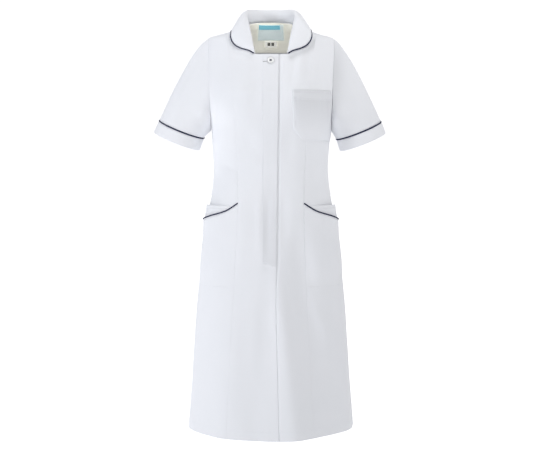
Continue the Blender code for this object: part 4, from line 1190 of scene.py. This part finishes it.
def keep_clear(points, clearance):
    """Move points out until they are clear of the body of the dress."""
    step = 0.5
    for _ in range(4):
        value = outside_value(points)
        slope = np.stack([(outside_value(points + step * way) - value) / step
                          for way in np.eye(3)], -1)
        size = np.maximum(np.linalg.norm(slope, axis=-1), 1e-9)
        short = np.maximum(clearance - (value - 1.0) / size, 0.0)
        points = points + unit(slope) * short[..., None]
    return points


def bezier(a, b, c, d, s):
    """A place at the share s of a cubic curve from a to d."""
    r = 1.0 - s
    return a * r ** 3 + b * 3 * r * r * s + c * 3 * r * s * s + d * s ** 3


half = np.linspace(0.0, 1.0, COLLAR_STEPS + 1)
share = np.concatenate([half[:0:-1], half])
lift = np.where(np.arange(len(share)) > COLLAR_STEPS,
                COLLAR_LIFT_LEFT * np.sin(math.pi * np.minimum(share / 0.95, 1.0)) ** 2, 0.0)
station = collar_at(share)
roll = np.stack(station[:3], -1)
near_point = body_point(*neck_place(np.minimum(share + NECK_PROBE, 1.0)))
far_point = body_point(*neck_place(np.maximum(share - NECK_PROBE, 0.0)))
neck_girth, neck_z = neck_place(share)
seam_point = body_point(neck_girth, neck_z)
seam_normal = body_normal(neck_girth, neck_z)
up = unit(np.cross(unit(near_point - far_point), seam_normal))
up = np.where(up[:, 2:] < 0.0, -up, up)
start = seam_point + up * 2.0 * SEAM_GAP - seam_normal * COLLAR_CLOTH
edge_z = station[5]
edge_girth = girth_at(station[4], edge_z, np.where(share > COLLAR_RIDGE_SHARE, 1, -1))
edge_girth = np.where(np.abs(share - COLLAR_RIDGE_SHARE) < 0.001, math.pi / 2.0, edge_girth)
edge_normal = body_normal(edge_girth, edge_z)
edge = body_point(edge_girth, edge_z) + edge_normal * (COLLAR_REST + COLLAR_CLOTH + lift)[:, None]
outwards = unit((edge + edge_normal * EDGE_OUT - start) * np.array([1.0, 1.0, 0.0]))
rise = np.linalg.norm(roll - start, axis=-1, keepdims=True)
reach = np.linalg.norm(edge - roll, axis=-1, keepdims=True)
columns = []
for k in range(COLLAR_STAND_STEPS):
    columns.append(bezier(start, start + up * rise * STAND_LEAD,
                          roll - outwards * rise * STAND_CURL, roll, k / COLLAR_STAND_STEPS))
hang = edge_normal * reach * EDGE_LIFT + (roll - edge) * EDGE_LEAD
for k in range(COLLAR_FALL_STEPS + 1):
    s = (k / COLLAR_FALL_STEPS) ** FALL_SPACING
    point = bezier(roll, roll + outwards * reach * ROLL_LEAD, edge + hang, edge, s)
    columns.append(keep_clear(point, COLLAR_REST + COLLAR_CLOTH))
points = np.stack(columns, axis=1)
mirror = np.arange(len(share)) < COLLAR_STEPS
points[mirror, :, 0] *= -1.0
normals = grid_normals(points)
if float(np.sum(normals[:, -4:] * np.array([0.0, 0.0, 1.0]))) < 0.0:
    normals = -normals
across = np.linspace(0.0, 1.0, points.shape[1])[None, :] + 0.0 * share[:, None]
around = np.linspace(-1.0, 1.0, len(share))[:, None] + 0.0 * across
wave = COLLAR_WAVE * unevenness(around * COLLAR_HALF_GIRTH, across * COLLAR_WIDTH,
                                COLLAR_WAVE_SIZE, 51)
points = points + normals * (wave * soft_step(across / 0.2))[..., None]
edge_gap = np.linalg.norm(points - points[:, -1:], axis=-1)
collar = sew_panel("twill_collar", points, normals, white_twill, thickness=COLLAR_CLOTH,
                   stitch=np.abs(edge_gap - COLLAR_STITCH) + COLLAR_STITCH_DEPTH)
ahead = np.gradient(points[:, -1], axis=0)
way = unit(np.cross(ahead, normals[:, -1]))
last_step = points[:, -1] - points[:, -2]
way = np.where(np.sum(way * last_step, axis=-1, keepdims=True) < 0.0, -way, way)
path = points[:, -1] - normals[:, -1] * COLLAR_CLOTH / 2.0 + way * PIPING_RADIUS
collar_piping = cord_along("navy_collar_piping", path, PIPING_RADIUS, navy_bias)
belongs(collar, "white_twill", "collar")
belongs(collar_piping, "navy_piping", "collar_piping")


# The chest pocket: a patch of twill sewn on the wearer's left, from near the lap to the
# armhole and the side seam, with a wide turned and twice-stitched hem along its mouth.
CHEST_POCKET_TOP = -162.0
CHEST_POCKET_BOTTOM = -287.0
CHEST_POCKET_X = 51.0
CHEST_POCKET_CORNER = 30.0
CHEST_POCKET_SIDE_INSET = 0.06
CHEST_POCKET_GAP = 1.0
CHEST_POCKET_ROWS = 44
CHEST_POCKET_COLUMNS = 50
POCKET_HEM_LINES = (5.0, 19.0, 24.0)
POCKET_EDGE_LINES = (2.0, 8.0)
# How far a line's thread stays from the full depth of a stitch: hem, corner and side edge.
HEM_LINE_DEPTH = 0.6
CORNER_LINE_DEPTH = 1.6
EDGE_LINE_DEPTH = 0.3
# The pocket lies down to the front at its edges, and at its mouth it is nearly flat.
POCKET_EDGE_HEIGHT = 0.5
POCKET_EDGE_BLEND = 16.0
POCKET_MOUTH_FLAT = 0.45
POCKET_MOUTH_BLEND = 8.0
# The turned hem: its depth, its raise and the blend below it.
TURNED_HEM = 26.0
TURNED_HEM_RAISE = 0.5
TURNED_HEM_BLEND = 3.0
# The pocket's painted shade: full high on the pocket, less over the turned hem, fading downwards and at its
# left edge and corner.
POCKET_GREY = 0.95
TURNED_HEM_GREY = 0.62
TURNED_HEM_GREY_BLEND = 4.0
POCKET_GREY_RISE = 140.0
POCKET_GREY_EDGE = 9.0

share_up = np.linspace(0.0, 1.0, CHEST_POCKET_ROWS)[:, None]
z = mix(CHEST_POCKET_BOTTOM, CHEST_POCKET_TOP, share_up)
near = girth_at(np.array(CHEST_POCKET_X), z)
middle = (SHOULDER_TIP_Z + UNDERARM_Z) / 2.0
turn = np.arccos(np.clip((z - middle) / (SHOULDER_TIP_Z - middle), -1.0, 1.0))
far = np.where(z > UNDERARM_Z, armhole_place(turn, 1)[0], math.pi / 2.0) - CHEST_POCKET_SIDE_INSET
girth = mix(near, far, np.linspace(0.0, 1.0, CHEST_POCKET_COLUMNS)[None, :])
x = body_point(girth, z + 0.0 * girth)[..., 0]
cut = np.maximum(0.0, CHEST_POCKET_CORNER - (x - CHEST_POCKET_X))
lowest = CHEST_POCKET_BOTTOM + cut
z = mix(lowest, CHEST_POCKET_TOP, share_up)
down = CHEST_POCKET_TOP - z
in_from_left = x - CHEST_POCKET_X
corner = np.where(cut > 0.0, (z - lowest) * math.sqrt(0.5), z - CHEST_POCKET_BOTTOM)
from_edge = np.minimum(in_from_left, corner)
stitched = np.full(z.shape, FAR_FROM_STITCH)
for line in POCKET_HEM_LINES:
    stitched = np.minimum(stitched, HEM_LINE_DEPTH + np.abs(down - line))
line_depth = np.where(corner < in_from_left, CORNER_LINE_DEPTH, EDGE_LINE_DEPTH)
for line in POCKET_EDGE_LINES:
    stitched = np.minimum(stitched, line_depth + np.abs(from_edge - line))
above_hem_edge = TURNED_HEM - down
extra = mix(POCKET_EDGE_HEIGHT, CHEST_POCKET_GAP + CLOTH, soft_step(from_edge / POCKET_EDGE_BLEND))
extra = extra * mix(1.0, POCKET_MOUTH_FLAT, np.exp(-(down / POCKET_MOUTH_BLEND) ** 2))
extra = extra + pucker(from_edge, x + z, 61)
extra = extra + TURNED_HEM_RAISE * soft_step(above_hem_edge / TURNED_HEM_BLEND)
points, normals = shaped(girth, z, extra)
# Painted shade, darker up towards the pocket's mouth.
shade = soft_step((z - CHEST_POCKET_BOTTOM) / POCKET_GREY_RISE)
shade = shade * soft_step(from_edge / POCKET_GREY_EDGE)
shade = shade * mix(POCKET_GREY, TURNED_HEM_GREY, soft_step(above_hem_edge / TURNED_HEM_GREY_BLEND))
chest_pocket = sew_panel("twill_chest_pocket", points, normals, white_twill, stitch=stitched,
                         shade=shade)
belongs(chest_pocket, "white_twill", "chest_pocket")


# The hip pockets: each is two layers of twill caught in the princess and side seams. The
# outer layer's curved mouth is edged with navy piping; the inner layer rises above it.
POCKET_BOTTOM_Z = -647.0
POCKET_BACK_TOP_Z = -447.0
POCKET_GAPE = 6.0
POCKET_FRONT_GAPE = 7.5
POCKET_GAPE_START_Z = -537.0
POCKET_GAPE_START_X = 95.0
POCKET_GAPE_WIDTH = 60.0
POCKET_PIPING_RAISE = 0.8
LAYER_GAP = 0.5
POCKET_TAPER = 0.55
POCKET_FLOOR_TAPER = 70.0
POCKET_EDGE_SHARE = 0.02
POCKET_END = 0.988
INNER_STITCH = 9.0
MOUTH_STITCH = 3.0
FLOOR_STITCH = 1.2
FLOOR_STITCH_DEPTH = 0.9
# share of the way from princess seam to side seam, height
POCKET_MOUTH = (
    (0.0, -442.0),
    (0.1, -451.0),
    (0.25, -463.0),
    (0.45, -472.0),
    (0.7, -480.0),
    (1.0, -487.0),
)
POCKET_COLUMNS = np.concatenate([[0.0, 0.004, 0.012], np.linspace(0.03, 1.0, 38)])
POCKET_ROWS = np.concatenate([[0.0, 0.002, 0.006], np.linspace(0.018, 1.0, 50)])
mouth_at = curve_through(POCKET_MOUTH)


def pocket_layer(side, top):
    """Girth and height of a layer that ends at the height top, a number or one a column."""
    share = POCKET_COLUMNS[None, :]
    z = mix(POCKET_BOTTOM_Z, top + 0.0 * share, POCKET_ROWS[:, None])
    near = side * girth_at(princess_at(z)[0], z)
    girth = mix(near, side * math.pi / 2.0, mix(0.0, POCKET_END, share))
    return girth, z


def seated(share, z, height):
    """How far a pocket layer stands off: it runs down to the cloth at its seams."""
    inner_edge = mix(POCKET_EDGE_SHARE, 1.0, soft_step(share / POCKET_TAPER))
    floor_rise = soft_step((z - POCKET_BOTTOM_Z) / POCKET_FLOOR_TAPER)
    floor_edge = mix(POCKET_EDGE_SHARE, 1.0, floor_rise)
    return height * np.minimum(inner_edge, floor_edge)


def gape(x, z, depth):
    """How far a layer's outer upper corner stands off the hip."""
    up = soft_step((z - POCKET_GAPE_START_Z) / (POCKET_BACK_TOP_Z - POCKET_GAPE_START_Z))
    return depth * up * soft_step((np.abs(x) - POCKET_GAPE_START_X) / POCKET_GAPE_WIDTH)


across = POCKET_COLUMNS[None, :]
mouth_z = mouth_at(POCKET_COLUMNS)[0][None, :]
for word, side in (("right", -1), ("left", 1)):
    girth, z = pocket_layer(side, POCKET_BACK_TOP_Z)
    x = body_point(girth, z)[..., 0]
    extra = seated(across, z, LAYER_GAP + CLOTH) + gape(x, z, POCKET_GAPE)
    points, normals = shaped(girth, z, extra)
    inner_layer = sew_panel("twill_pocket_back_" + word, points, normals, white_twill,
                            stitch=np.abs(POCKET_BACK_TOP_Z - z - INNER_STITCH))

    girth, z = pocket_layer(side, mouth_z)
    x = body_point(girth, z)[..., 0]
    down = mouth_z - z
    floor_gap = z - POCKET_BOTTOM_Z
    extra = seated(across, z, 2.0 * (LAYER_GAP + CLOTH)) + gape(x, z, POCKET_FRONT_GAPE)
    extra = extra + pucker(floor_gap, x, 71 + side)
    extra = extra + pucker(down, x, 75 + side)
    stitched = np.minimum(np.abs(down - MOUTH_STITCH),
                          FLOOR_STITCH_DEPTH + np.abs(floor_gap - FLOOR_STITCH))
    points, normals = shaped(girth, z, extra)
    outer_layer = sew_panel("twill_pocket_front_" + word, points, normals, white_twill,
                            stitch=stitched)
    path = (points[-1] + unit(points[-1] - points[-3]) * PIPING_RADIUS
            + normals[-1] * (POCKET_PIPING_RAISE - CLOTH / 2.0))
    piping = cord_along("navy_pocket_piping_" + word, path, PIPING_RADIUS, navy_bias)
    belongs(inner_layer, "white_twill", "pocket_back_" + word)
    belongs(outer_layer, "white_twill", "pocket_front_" + word)
    belongs(piping, "navy_piping", "pocket_piping_" + word)


# The back neck facing: plain cloth inside the back neck, with two small labels on it. Its cream tint and
# glow are painted light, for the warm light seen inside the dress.
FACING_CLOTH = 0.9
FACING_BOTTOM_Z = -43.0
FACING_DIP = 25.0
LABEL_CLOTH = 0.7
LABEL_GAP = 1.6
SIZE_LABEL_GAP = 1.5
LABEL_HALF_WIDTH = 34.5
LABEL_TOP_Z = 13.0
LABEL_BOTTOM_Z = -25.0
LABEL_BAND = 10.5
SIZE_LABEL_HALF_WIDTH = 16.5
SIZE_LABEL_TOP_Z = -26.0
SIZE_LABEL_BOTTOM_Z = -43.0
FACING_SHARE = 1.0 / 6.0
FACING_ROWS = 26
FACING_COLUMNS = 60
FACING_SINK = 1.5
FACING_WAVE = 0.35
FACING_WAVE_SIZE = 45.0
FACING_WAVE_MOST = 0.2
FACING_WIDTH = 250.0
FACING_HEIGHT = 90.0
FACING_STITCH = 3.0
# The band and the marks woven into the labels, which lie just in front of them.
MARK_CLOTH = 0.12
MARK_GAP = 0.13
MARK_TOP_Z = -30.0
MARK_BOTTOM_Z = -38.5
BAND_INSET = 1.0
BAND_END = 9.0

# Cream tint and glow painted for the warm light inside the dress; the last value is the glow.
facing_cloth_painted_warm = woven_cloth("plain_weave_painted_warm", "#FAF8EC", "#F5F2E3", 0.0011, 0.88, 0.1, 0.27)
seam_z = z_end[back_rises >= 0.0]
low = float(np.interp(FACING_BOTTOM_Z - FACING_DIP, seam_z, np.flatnonzero(back_rises >= 0.0)))
facing_t = np.linspace(t[int(low)], back_steps, FACING_ROWS)
facing_girth = np.interp(facing_t, t[back_rises >= 0.0], girth_end[back_rises >= 0.0])
facing_z = np.interp(facing_t, t[back_rises >= 0.0], seam_z)
u = np.linspace(FACING_SHARE, 1.0 - FACING_SHARE, FACING_COLUMNS)[None, :]
share_up = np.linspace(0.0, 1.0, FACING_ROWS)[:, None]
girth, z = on_back(facing_girth[:, None], facing_z[:, None], u)
z = z - FACING_SINK * soft_step(share_up / 0.5)
normals = body_normal(girth, z)
wave = FACING_WAVE * unevenness(u * FACING_WIDTH, share_up * FACING_HEIGHT, FACING_WAVE_SIZE, 81)
lift = np.minimum(wave, FACING_WAVE_MOST) - (CLOTH + LAYER_GAP)
points = body_point(girth, z) + normals * lift[..., None]
facing = sew_panel("back_facing_painted_warm", points, normals, facing_cloth_painted_warm, thickness=FACING_CLOTH,
                   stitch=np.abs(z - z[:1] - FACING_STITCH))

# The aqua, teal and cream labels' last values are painted glows.
aqua_satin = woven_cloth("aqua_satin_label", "#E0ECEB", "#D8E6E5", 0.0009, 0.5, 0.1, 0.34)
teal_satin = woven_cloth("teal_satin_band", "#86CFDF", "#7AC5D6", 0.0009, 0.5, 0.1, 0.3)
# This dark grey serves the printed size marks and the painted shade in the buttonhole's slit.
dark_print_and_slit_shade = woven_cloth("dark_label_print_and_slit_shade", "#8A8A82", "#7C7C75", 0.0009, 0.7, 0.1)
cream_tape = woven_cloth("cream_label_tape", "#FAF9F2", "#F3F1E6", 0.0009, 0.7, 0.1, 0.36)
# name, material, thickness, left, right, top, bottom, depth inside the facing
LABELS = (
    ("aqua_neck_label", aqua_satin, LABEL_CLOTH, -LABEL_HALF_WIDTH, LABEL_HALF_WIDTH,
     LABEL_TOP_Z, LABEL_BOTTOM_Z, LABEL_GAP),
    ("teal_label_band", teal_satin, MARK_CLOTH, -LABEL_HALF_WIDTH + BAND_INSET,
     LABEL_HALF_WIDTH - BAND_END, LABEL_TOP_Z - BAND_INSET, LABEL_TOP_Z - BAND_INSET - LABEL_BAND,
     LABEL_GAP + LABEL_CLOTH + MARK_GAP),
    ("cream_size_label", cream_tape, LABEL_CLOTH, -SIZE_LABEL_HALF_WIDTH, SIZE_LABEL_HALF_WIDTH,
     SIZE_LABEL_TOP_Z, SIZE_LABEL_BOTTOM_Z, SIZE_LABEL_GAP),
    ("dark_size_mark_left", dark_print_and_slit_shade, MARK_CLOTH, -9.0, -1.5, MARK_TOP_Z, MARK_BOTTOM_Z,
     SIZE_LABEL_GAP + LABEL_CLOTH + MARK_GAP),
    ("dark_size_mark_right", dark_print_and_slit_shade, MARK_CLOTH, 1.0, 8.5, MARK_TOP_Z, MARK_BOTTOM_Z,
     SIZE_LABEL_GAP + LABEL_CLOTH + MARK_GAP),
)
label_pieces = {}
for name, material, thick, left, right, high, low, depth in LABELS:
    z = np.linspace(low, high, 8)[:, None] + np.zeros((1, 14))
    x = np.linspace(left, right, 14)[None, :] + 0.0 * z
    girth = girth_at(x, z, -1)
    normals = body_normal(girth, z)
    points = body_point(girth, z) - normals * (CLOTH + LAYER_GAP + FACING_CLOTH + depth)
    label_pieces[name] = sew_panel(name, points, normals, material, thickness=thick)
belongs(facing, "cream_facing", "back_facing")
belongs(label_pieces["aqua_neck_label"], "aqua_label", "neck_label")
belongs(label_pieces["teal_label_band"], "aqua_label")
belongs(label_pieces["cream_size_label"], "cream_facing", "size_label")
belongs(label_pieces["dark_size_mark_left"], "navy_piping")
belongs(label_pieces["dark_size_mark_right"], "navy_piping")


# The top button: a dished white polyester button with four holes, sewn on with navy thread,
# in a worked buttonhole that lies across the lap.
BUTTON_GAP = 0.9
BUTTON_THICKNESS = 2.8
BUTTON_RIM = 1.3
BUTTON_DISH = 0.7
BUTTON_HOLE_RADIUS = 0.95
BUTTON_HOLE_SPREAD = 1.4
BUTTONHOLE_LEFT = -22.0
BUTTONHOLE_RIGHT = -8.0

resin, tree = new_material("moulded_white_resin")
place = add_node(tree, "ShaderNodeTexCoord")
cloudy = add_node(tree, "ShaderNodeTexNoise", None,
                  {"Vector": (place, "Object"), "Scale": 300.0, "Detail": 4.0})
tint = two_tints(tree, (cloudy, "Fac"), "#FBFBFA", "#F3F3F2")
polish = map_range(tree, (cloudy, "Fac"), (0.0, 1.0), (0.24, 0.38))
add_surface(tree, {"Base Color": (tint, 2), "Roughness": (polish, "Result"), "IOR": 1.54,
                   "Coat Weight": 0.3, "Coat Roughness": 0.15})

dish = BUTTON_THICKNESS - BUTTON_DISH
# The button's half section from the middle of its dish over the rim to its back.
# radius, height
profile = (
    (0.0, dish),
    (BUTTON_RADIUS - BUTTON_RIM - 1.1, dish),
    (BUTTON_RADIUS - BUTTON_RIM - 0.5, dish + 0.15),
    (BUTTON_RADIUS - BUTTON_RIM, BUTTON_THICKNESS - 0.1),
    (BUTTON_RADIUS - 0.8, BUTTON_THICKNESS),
    (BUTTON_RADIUS - 0.25, BUTTON_THICKNESS - 0.35),
    (BUTTON_RADIUS, BUTTON_THICKNESS / 2.0),
    (BUTTON_RADIUS - 0.4, 0.35),
    (BUTTON_RADIUS - 1.4, 0.0),
    (0.0, 0.0),
)
bm = bmesh.new()
verts = [bm.verts.new(Vector((radius, 0.0, height)) * MM) for radius, height in profile]
edges = [bm.edges.new(pair) for pair in zip(verts, verts[1:])]
bmesh.ops.spin(bm, geom=verts + edges, cent=(0.0, 0.0, 0.0), axis=(0.0, 0.0, 1.0),
               angle=2.0 * math.pi, steps=48, use_merge=True)
bmesh.ops.remove_doubles(bm, verts=bm.verts, dist=MERGE_DISTANCE * MM)
bmesh.ops.recalc_face_normals(bm, faces=bm.faces)
button = add_piece("resin_button", bm, resin)
bm = bmesh.new()
for across in (-1.0, 1.0):
    for up in (-1.0, 1.0):
        bmesh.ops.create_cone(bm, cap_ends=True, segments=16, radius1=BUTTON_HOLE_RADIUS * MM,
                              radius2=BUTTON_HOLE_RADIUS * MM, depth=8.0 * MM,
                              matrix=Matrix.Translation(Vector((across, up, 1.0))
                                                        * BUTTON_HOLE_SPREAD * MM))
mesh = bpy.data.meshes.new("hole_cutter")
bm.to_mesh(mesh)
bm.free()
cutter = bpy.data.objects.new("hole_cutter", mesh)
bpy.context.scene.collection.objects.link(cutter)
cut = button.modifiers.new("holes", "BOOLEAN")
cut.operation = "DIFFERENCE"
cut.solver = "EXACT"
cut.object = cutter
bpy.context.view_layer.update()
mesh = bpy.data.meshes.new_from_object(button.evaluated_get(bpy.context.evaluated_depsgraph_get()))
button.modifiers.clear()
button.data = mesh
mesh.name = "resin_button"
bpy.data.objects.remove(cutter, do_unlink=True)
button_girth = girth_at(np.array(BUTTON_X), np.array(BUTTON_Z))
button_normal = Vector(body_normal(button_girth, np.array(BUTTON_Z)))
button_seat = Vector(body_point(button_girth, np.array(BUTTON_Z)))
seat_turn = (Matrix.Translation((button_seat + button_normal * BUTTON_GAP) * MM)
             @ button_normal.to_track_quat("Z", "Y").to_matrix().to_4x4())
mesh.transform(seat_turn)
belongs(button, "button_white", "top_button")


# The sewing: lockstitch in white polyester thread, ten or so stitches to 30 mm. Each stitch
# is a short round thread that dips into the cloth at both ends.
STITCH_PITCH = 3.2
STITCH_LENGTH = 2.5
THREAD = 0.34
THREAD_SINK = 0.3
THREAD_RAISE = 0.4
FLY_TOP_Z = -74.0
FLY_END_X = 12.0
CHEST_POCKET_HEM_X = 147.0
CHEST_POCKET_FLOOR_X = 143.0
BUTTONHOLE_DOWN = 2.0

sewing_thread, tree = new_material("white_polyester_thread")
place = add_node(tree, "ShaderNodeTexCoord")
twist = add_node(tree, "ShaderNodeTexNoise", None,
                 {"Vector": (place, "Object"), "Scale": 1500.0, "Detail": 2.0})
tint = two_tints(tree, (twist, "Fac"), "#F6F7FA", "#E4E7EE")
add_surface(tree, {"Base Color": (tint, 2), "Roughness": 0.55, "Sheen Weight": 0.15})


def even_path(path, pitch):
    """Points a pitch apart along a path, with the direction at each."""
    path = np.asarray(path)
    steps = np.linalg.norm(np.diff(path, axis=0), axis=1)
    along = np.concatenate([[0.0], np.cumsum(steps)])
    count = max(int(along[-1] / pitch), 2)
    at = (np.arange(count) + 0.5) * along[-1] / count
    places = np.stack([np.interp(at, along, path[:, k]) for k in range(3)], -1)
    ahead = np.stack([np.interp(at + 0.5, along, path[:, k]) for k in range(3)], -1)
    return places, unit(ahead - places + 1e-6)


def sew_line(bm, path, normals):
    """A row of stitches on a path in millimetres."""
    places, ways = even_path(path, STITCH_PITCH)
    ups, _ = even_path(path + normals, STITCH_PITCH)
    for place, way, up in zip(places, ways, ups):
        ahead = Vector(way)
        out = Vector(up - place)
        out = (out - ahead * out.dot(ahead)).normalized()
        aside = out.cross(ahead)
        axes = (ahead * STITCH_LENGTH / 2.0, aside * THREAD, out * THREAD)
        shape = Matrix(axes).transposed().to_4x4()
        spot = Matrix.Translation((Vector(place) + out * THREAD * THREAD_SINK) * MM)
        bmesh.ops.create_icosphere(bm, subdivisions=1, radius=MM, matrix=spot @ shape)


def on_form(x, z, out, face=1):
    """A path on the dress through places x, z, raised by out."""
    x = np.asarray(x, float)
    z = np.asarray(z, float)
    girth = girth_at(x, z, face)
    normals = body_normal(girth, z)
    lift = creases(x, z, face) + out
    return body_point(girth, z) + normals * lift[:, None], normals


def stitch_piece(name, lines):
    """One piece of thread from several rows of stitches."""
    bm = bmesh.new()
    for path, normals in lines:
        sew_line(bm, path, normals)
    belongs(add_piece(name, bm, sewing_thread), "white_twill")


fly_z = np.linspace(FLY_TOP_Z, FLY_END_Z, 160)
fly_line = on_form(np.full(160, FLY_STITCH_X + 1.0), fly_z, THREAD_RAISE)
end_x = np.linspace(FLY_STITCH_X, FLY_END_X, 20)
end_z = FLY_END_Z - (end_x - FLY_STITCH_X) * FLY_END_SLOPE + 1.0
fly_end_line = on_form(end_x, end_z, THREAD_RAISE)
hem_girth = np.linspace(-math.pi, math.pi, 500)
hem_z = np.full(500, HEM_FOLD_Z)
hem_points = body_point(hem_girth, hem_z)
hem_face = np.where(np.cos(hem_girth) >= 0.0, 1, -1)
hem_normals = body_normal(hem_girth, hem_z)
hem_lift = creases(hem_points[:, 0], hem_z, hem_face)
hem_sag = hem_drop(hem_points[:, 0], hem_z, hem_face)
hem_points = hem_points + hem_normals * hem_lift[:, None]
hem_points[:, 2] -= hem_sag
stitch_piece("thread_fly", [fly_line, fly_end_line])
stitch_piece("thread_hem", [(hem_points, hem_normals)])

pocket_lines = []
for line in POCKET_HEM_LINES:
    line_z = np.full(60, CHEST_POCKET_TOP - line)
    pocket_lines.append(on_form(np.linspace(CHEST_POCKET_X + 1.5, CHEST_POCKET_HEM_X, 60), line_z,
                                CHEST_POCKET_GAP + CLOTH + THREAD_RAISE))
for line in POCKET_EDGE_LINES:
    side_z = np.linspace(CHEST_POCKET_TOP - 1.0, CHEST_POCKET_BOTTOM + CHEST_POCKET_CORNER, 60)
    pocket_lines.append(on_form(np.full(60, CHEST_POCKET_X + line), side_z,
                                CHEST_POCKET_GAP + CLOTH))
corner_x = np.linspace(CHEST_POCKET_X + 2.0, CHEST_POCKET_X + CHEST_POCKET_CORNER, 20)
corner_z = CHEST_POCKET_BOTTOM + CHEST_POCKET_CORNER - (corner_x - CHEST_POCKET_X) + 2.8
pocket_lines.append(on_form(corner_x, corner_z, CHEST_POCKET_GAP + CLOTH))
floor_x = np.linspace(CHEST_POCKET_X + CHEST_POCKET_CORNER, CHEST_POCKET_FLOOR_X, 30)
pocket_lines.append(on_form(floor_x, np.full(30, CHEST_POCKET_BOTTOM + 2.0), CHEST_POCKET_GAP + CLOTH))
stitch_piece("thread_chest_pocket", pocket_lines)

button_lines = []
for offset in (-0.8, 0.8):
    line_x = np.linspace(BUTTONHOLE_LEFT, BUTTONHOLE_RIGHT, 12)
    line_z = np.full(12, BUTTON_Z - BUTTONHOLE_DOWN + offset)
    button_lines.append(on_form(line_x, line_z, FLY_RAISE + 0.3))
tack_z = np.linspace(BUTTON_Z + 4.0, BUTTON_Z + 10.0, 8)
for tack_x in (12.0, 14.5):
    button_lines.append(on_form(np.full(8, tack_x), tack_z, FLY_RAISE + 0.3))
stitch_piece("thread_buttonhole", button_lines)

# The buttonhole's slit: a dark grey sliver painted in as the shade in the gap.
slit, slit_normals = on_form(np.array([(BUTTONHOLE_LEFT + BUTTONHOLE_RIGHT) / 2.0]),
                             np.array([BUTTON_Z - BUTTONHOLE_DOWN]), FLY_RAISE + 0.25)
slit_turn = Vector(slit_normals[0]).to_track_quat("Z", "Y").to_matrix().to_4x4()
bm = bmesh.new()
bmesh.ops.create_icosphere(bm, subdivisions=3, radius=MM,
                           matrix=Matrix.Translation(Vector(slit[0]) * MM) @ slit_turn
                           @ Matrix.Diagonal((5.6, 0.5, 0.25, 1.0)))
belongs(add_piece("buttonhole_slit_painted_shade", bm, dark_print_and_slit_shade), "white_twill")

# The thread over the button: three strands side by side at each of three places.
bm = bmesh.new()
for across in (-1.0, 0.0, 1.0):
    for strand in (-0.6, 0.0, 0.6):
        shape = Matrix.Diagonal((0.42, 2.5, 0.45, 1.0))
        place = Vector((across * BUTTON_HOLE_SPREAD + strand, 0.0, dish + 0.1))
        spot = Matrix.Translation(place * MM)
        bmesh.ops.create_icosphere(bm, subdivisions=2, radius=MM, matrix=seat_turn @ spot @ shape)
belongs(add_piece("thread_button", bm, navy_bias), "white_twill")

bpy.context.view_layer.update()
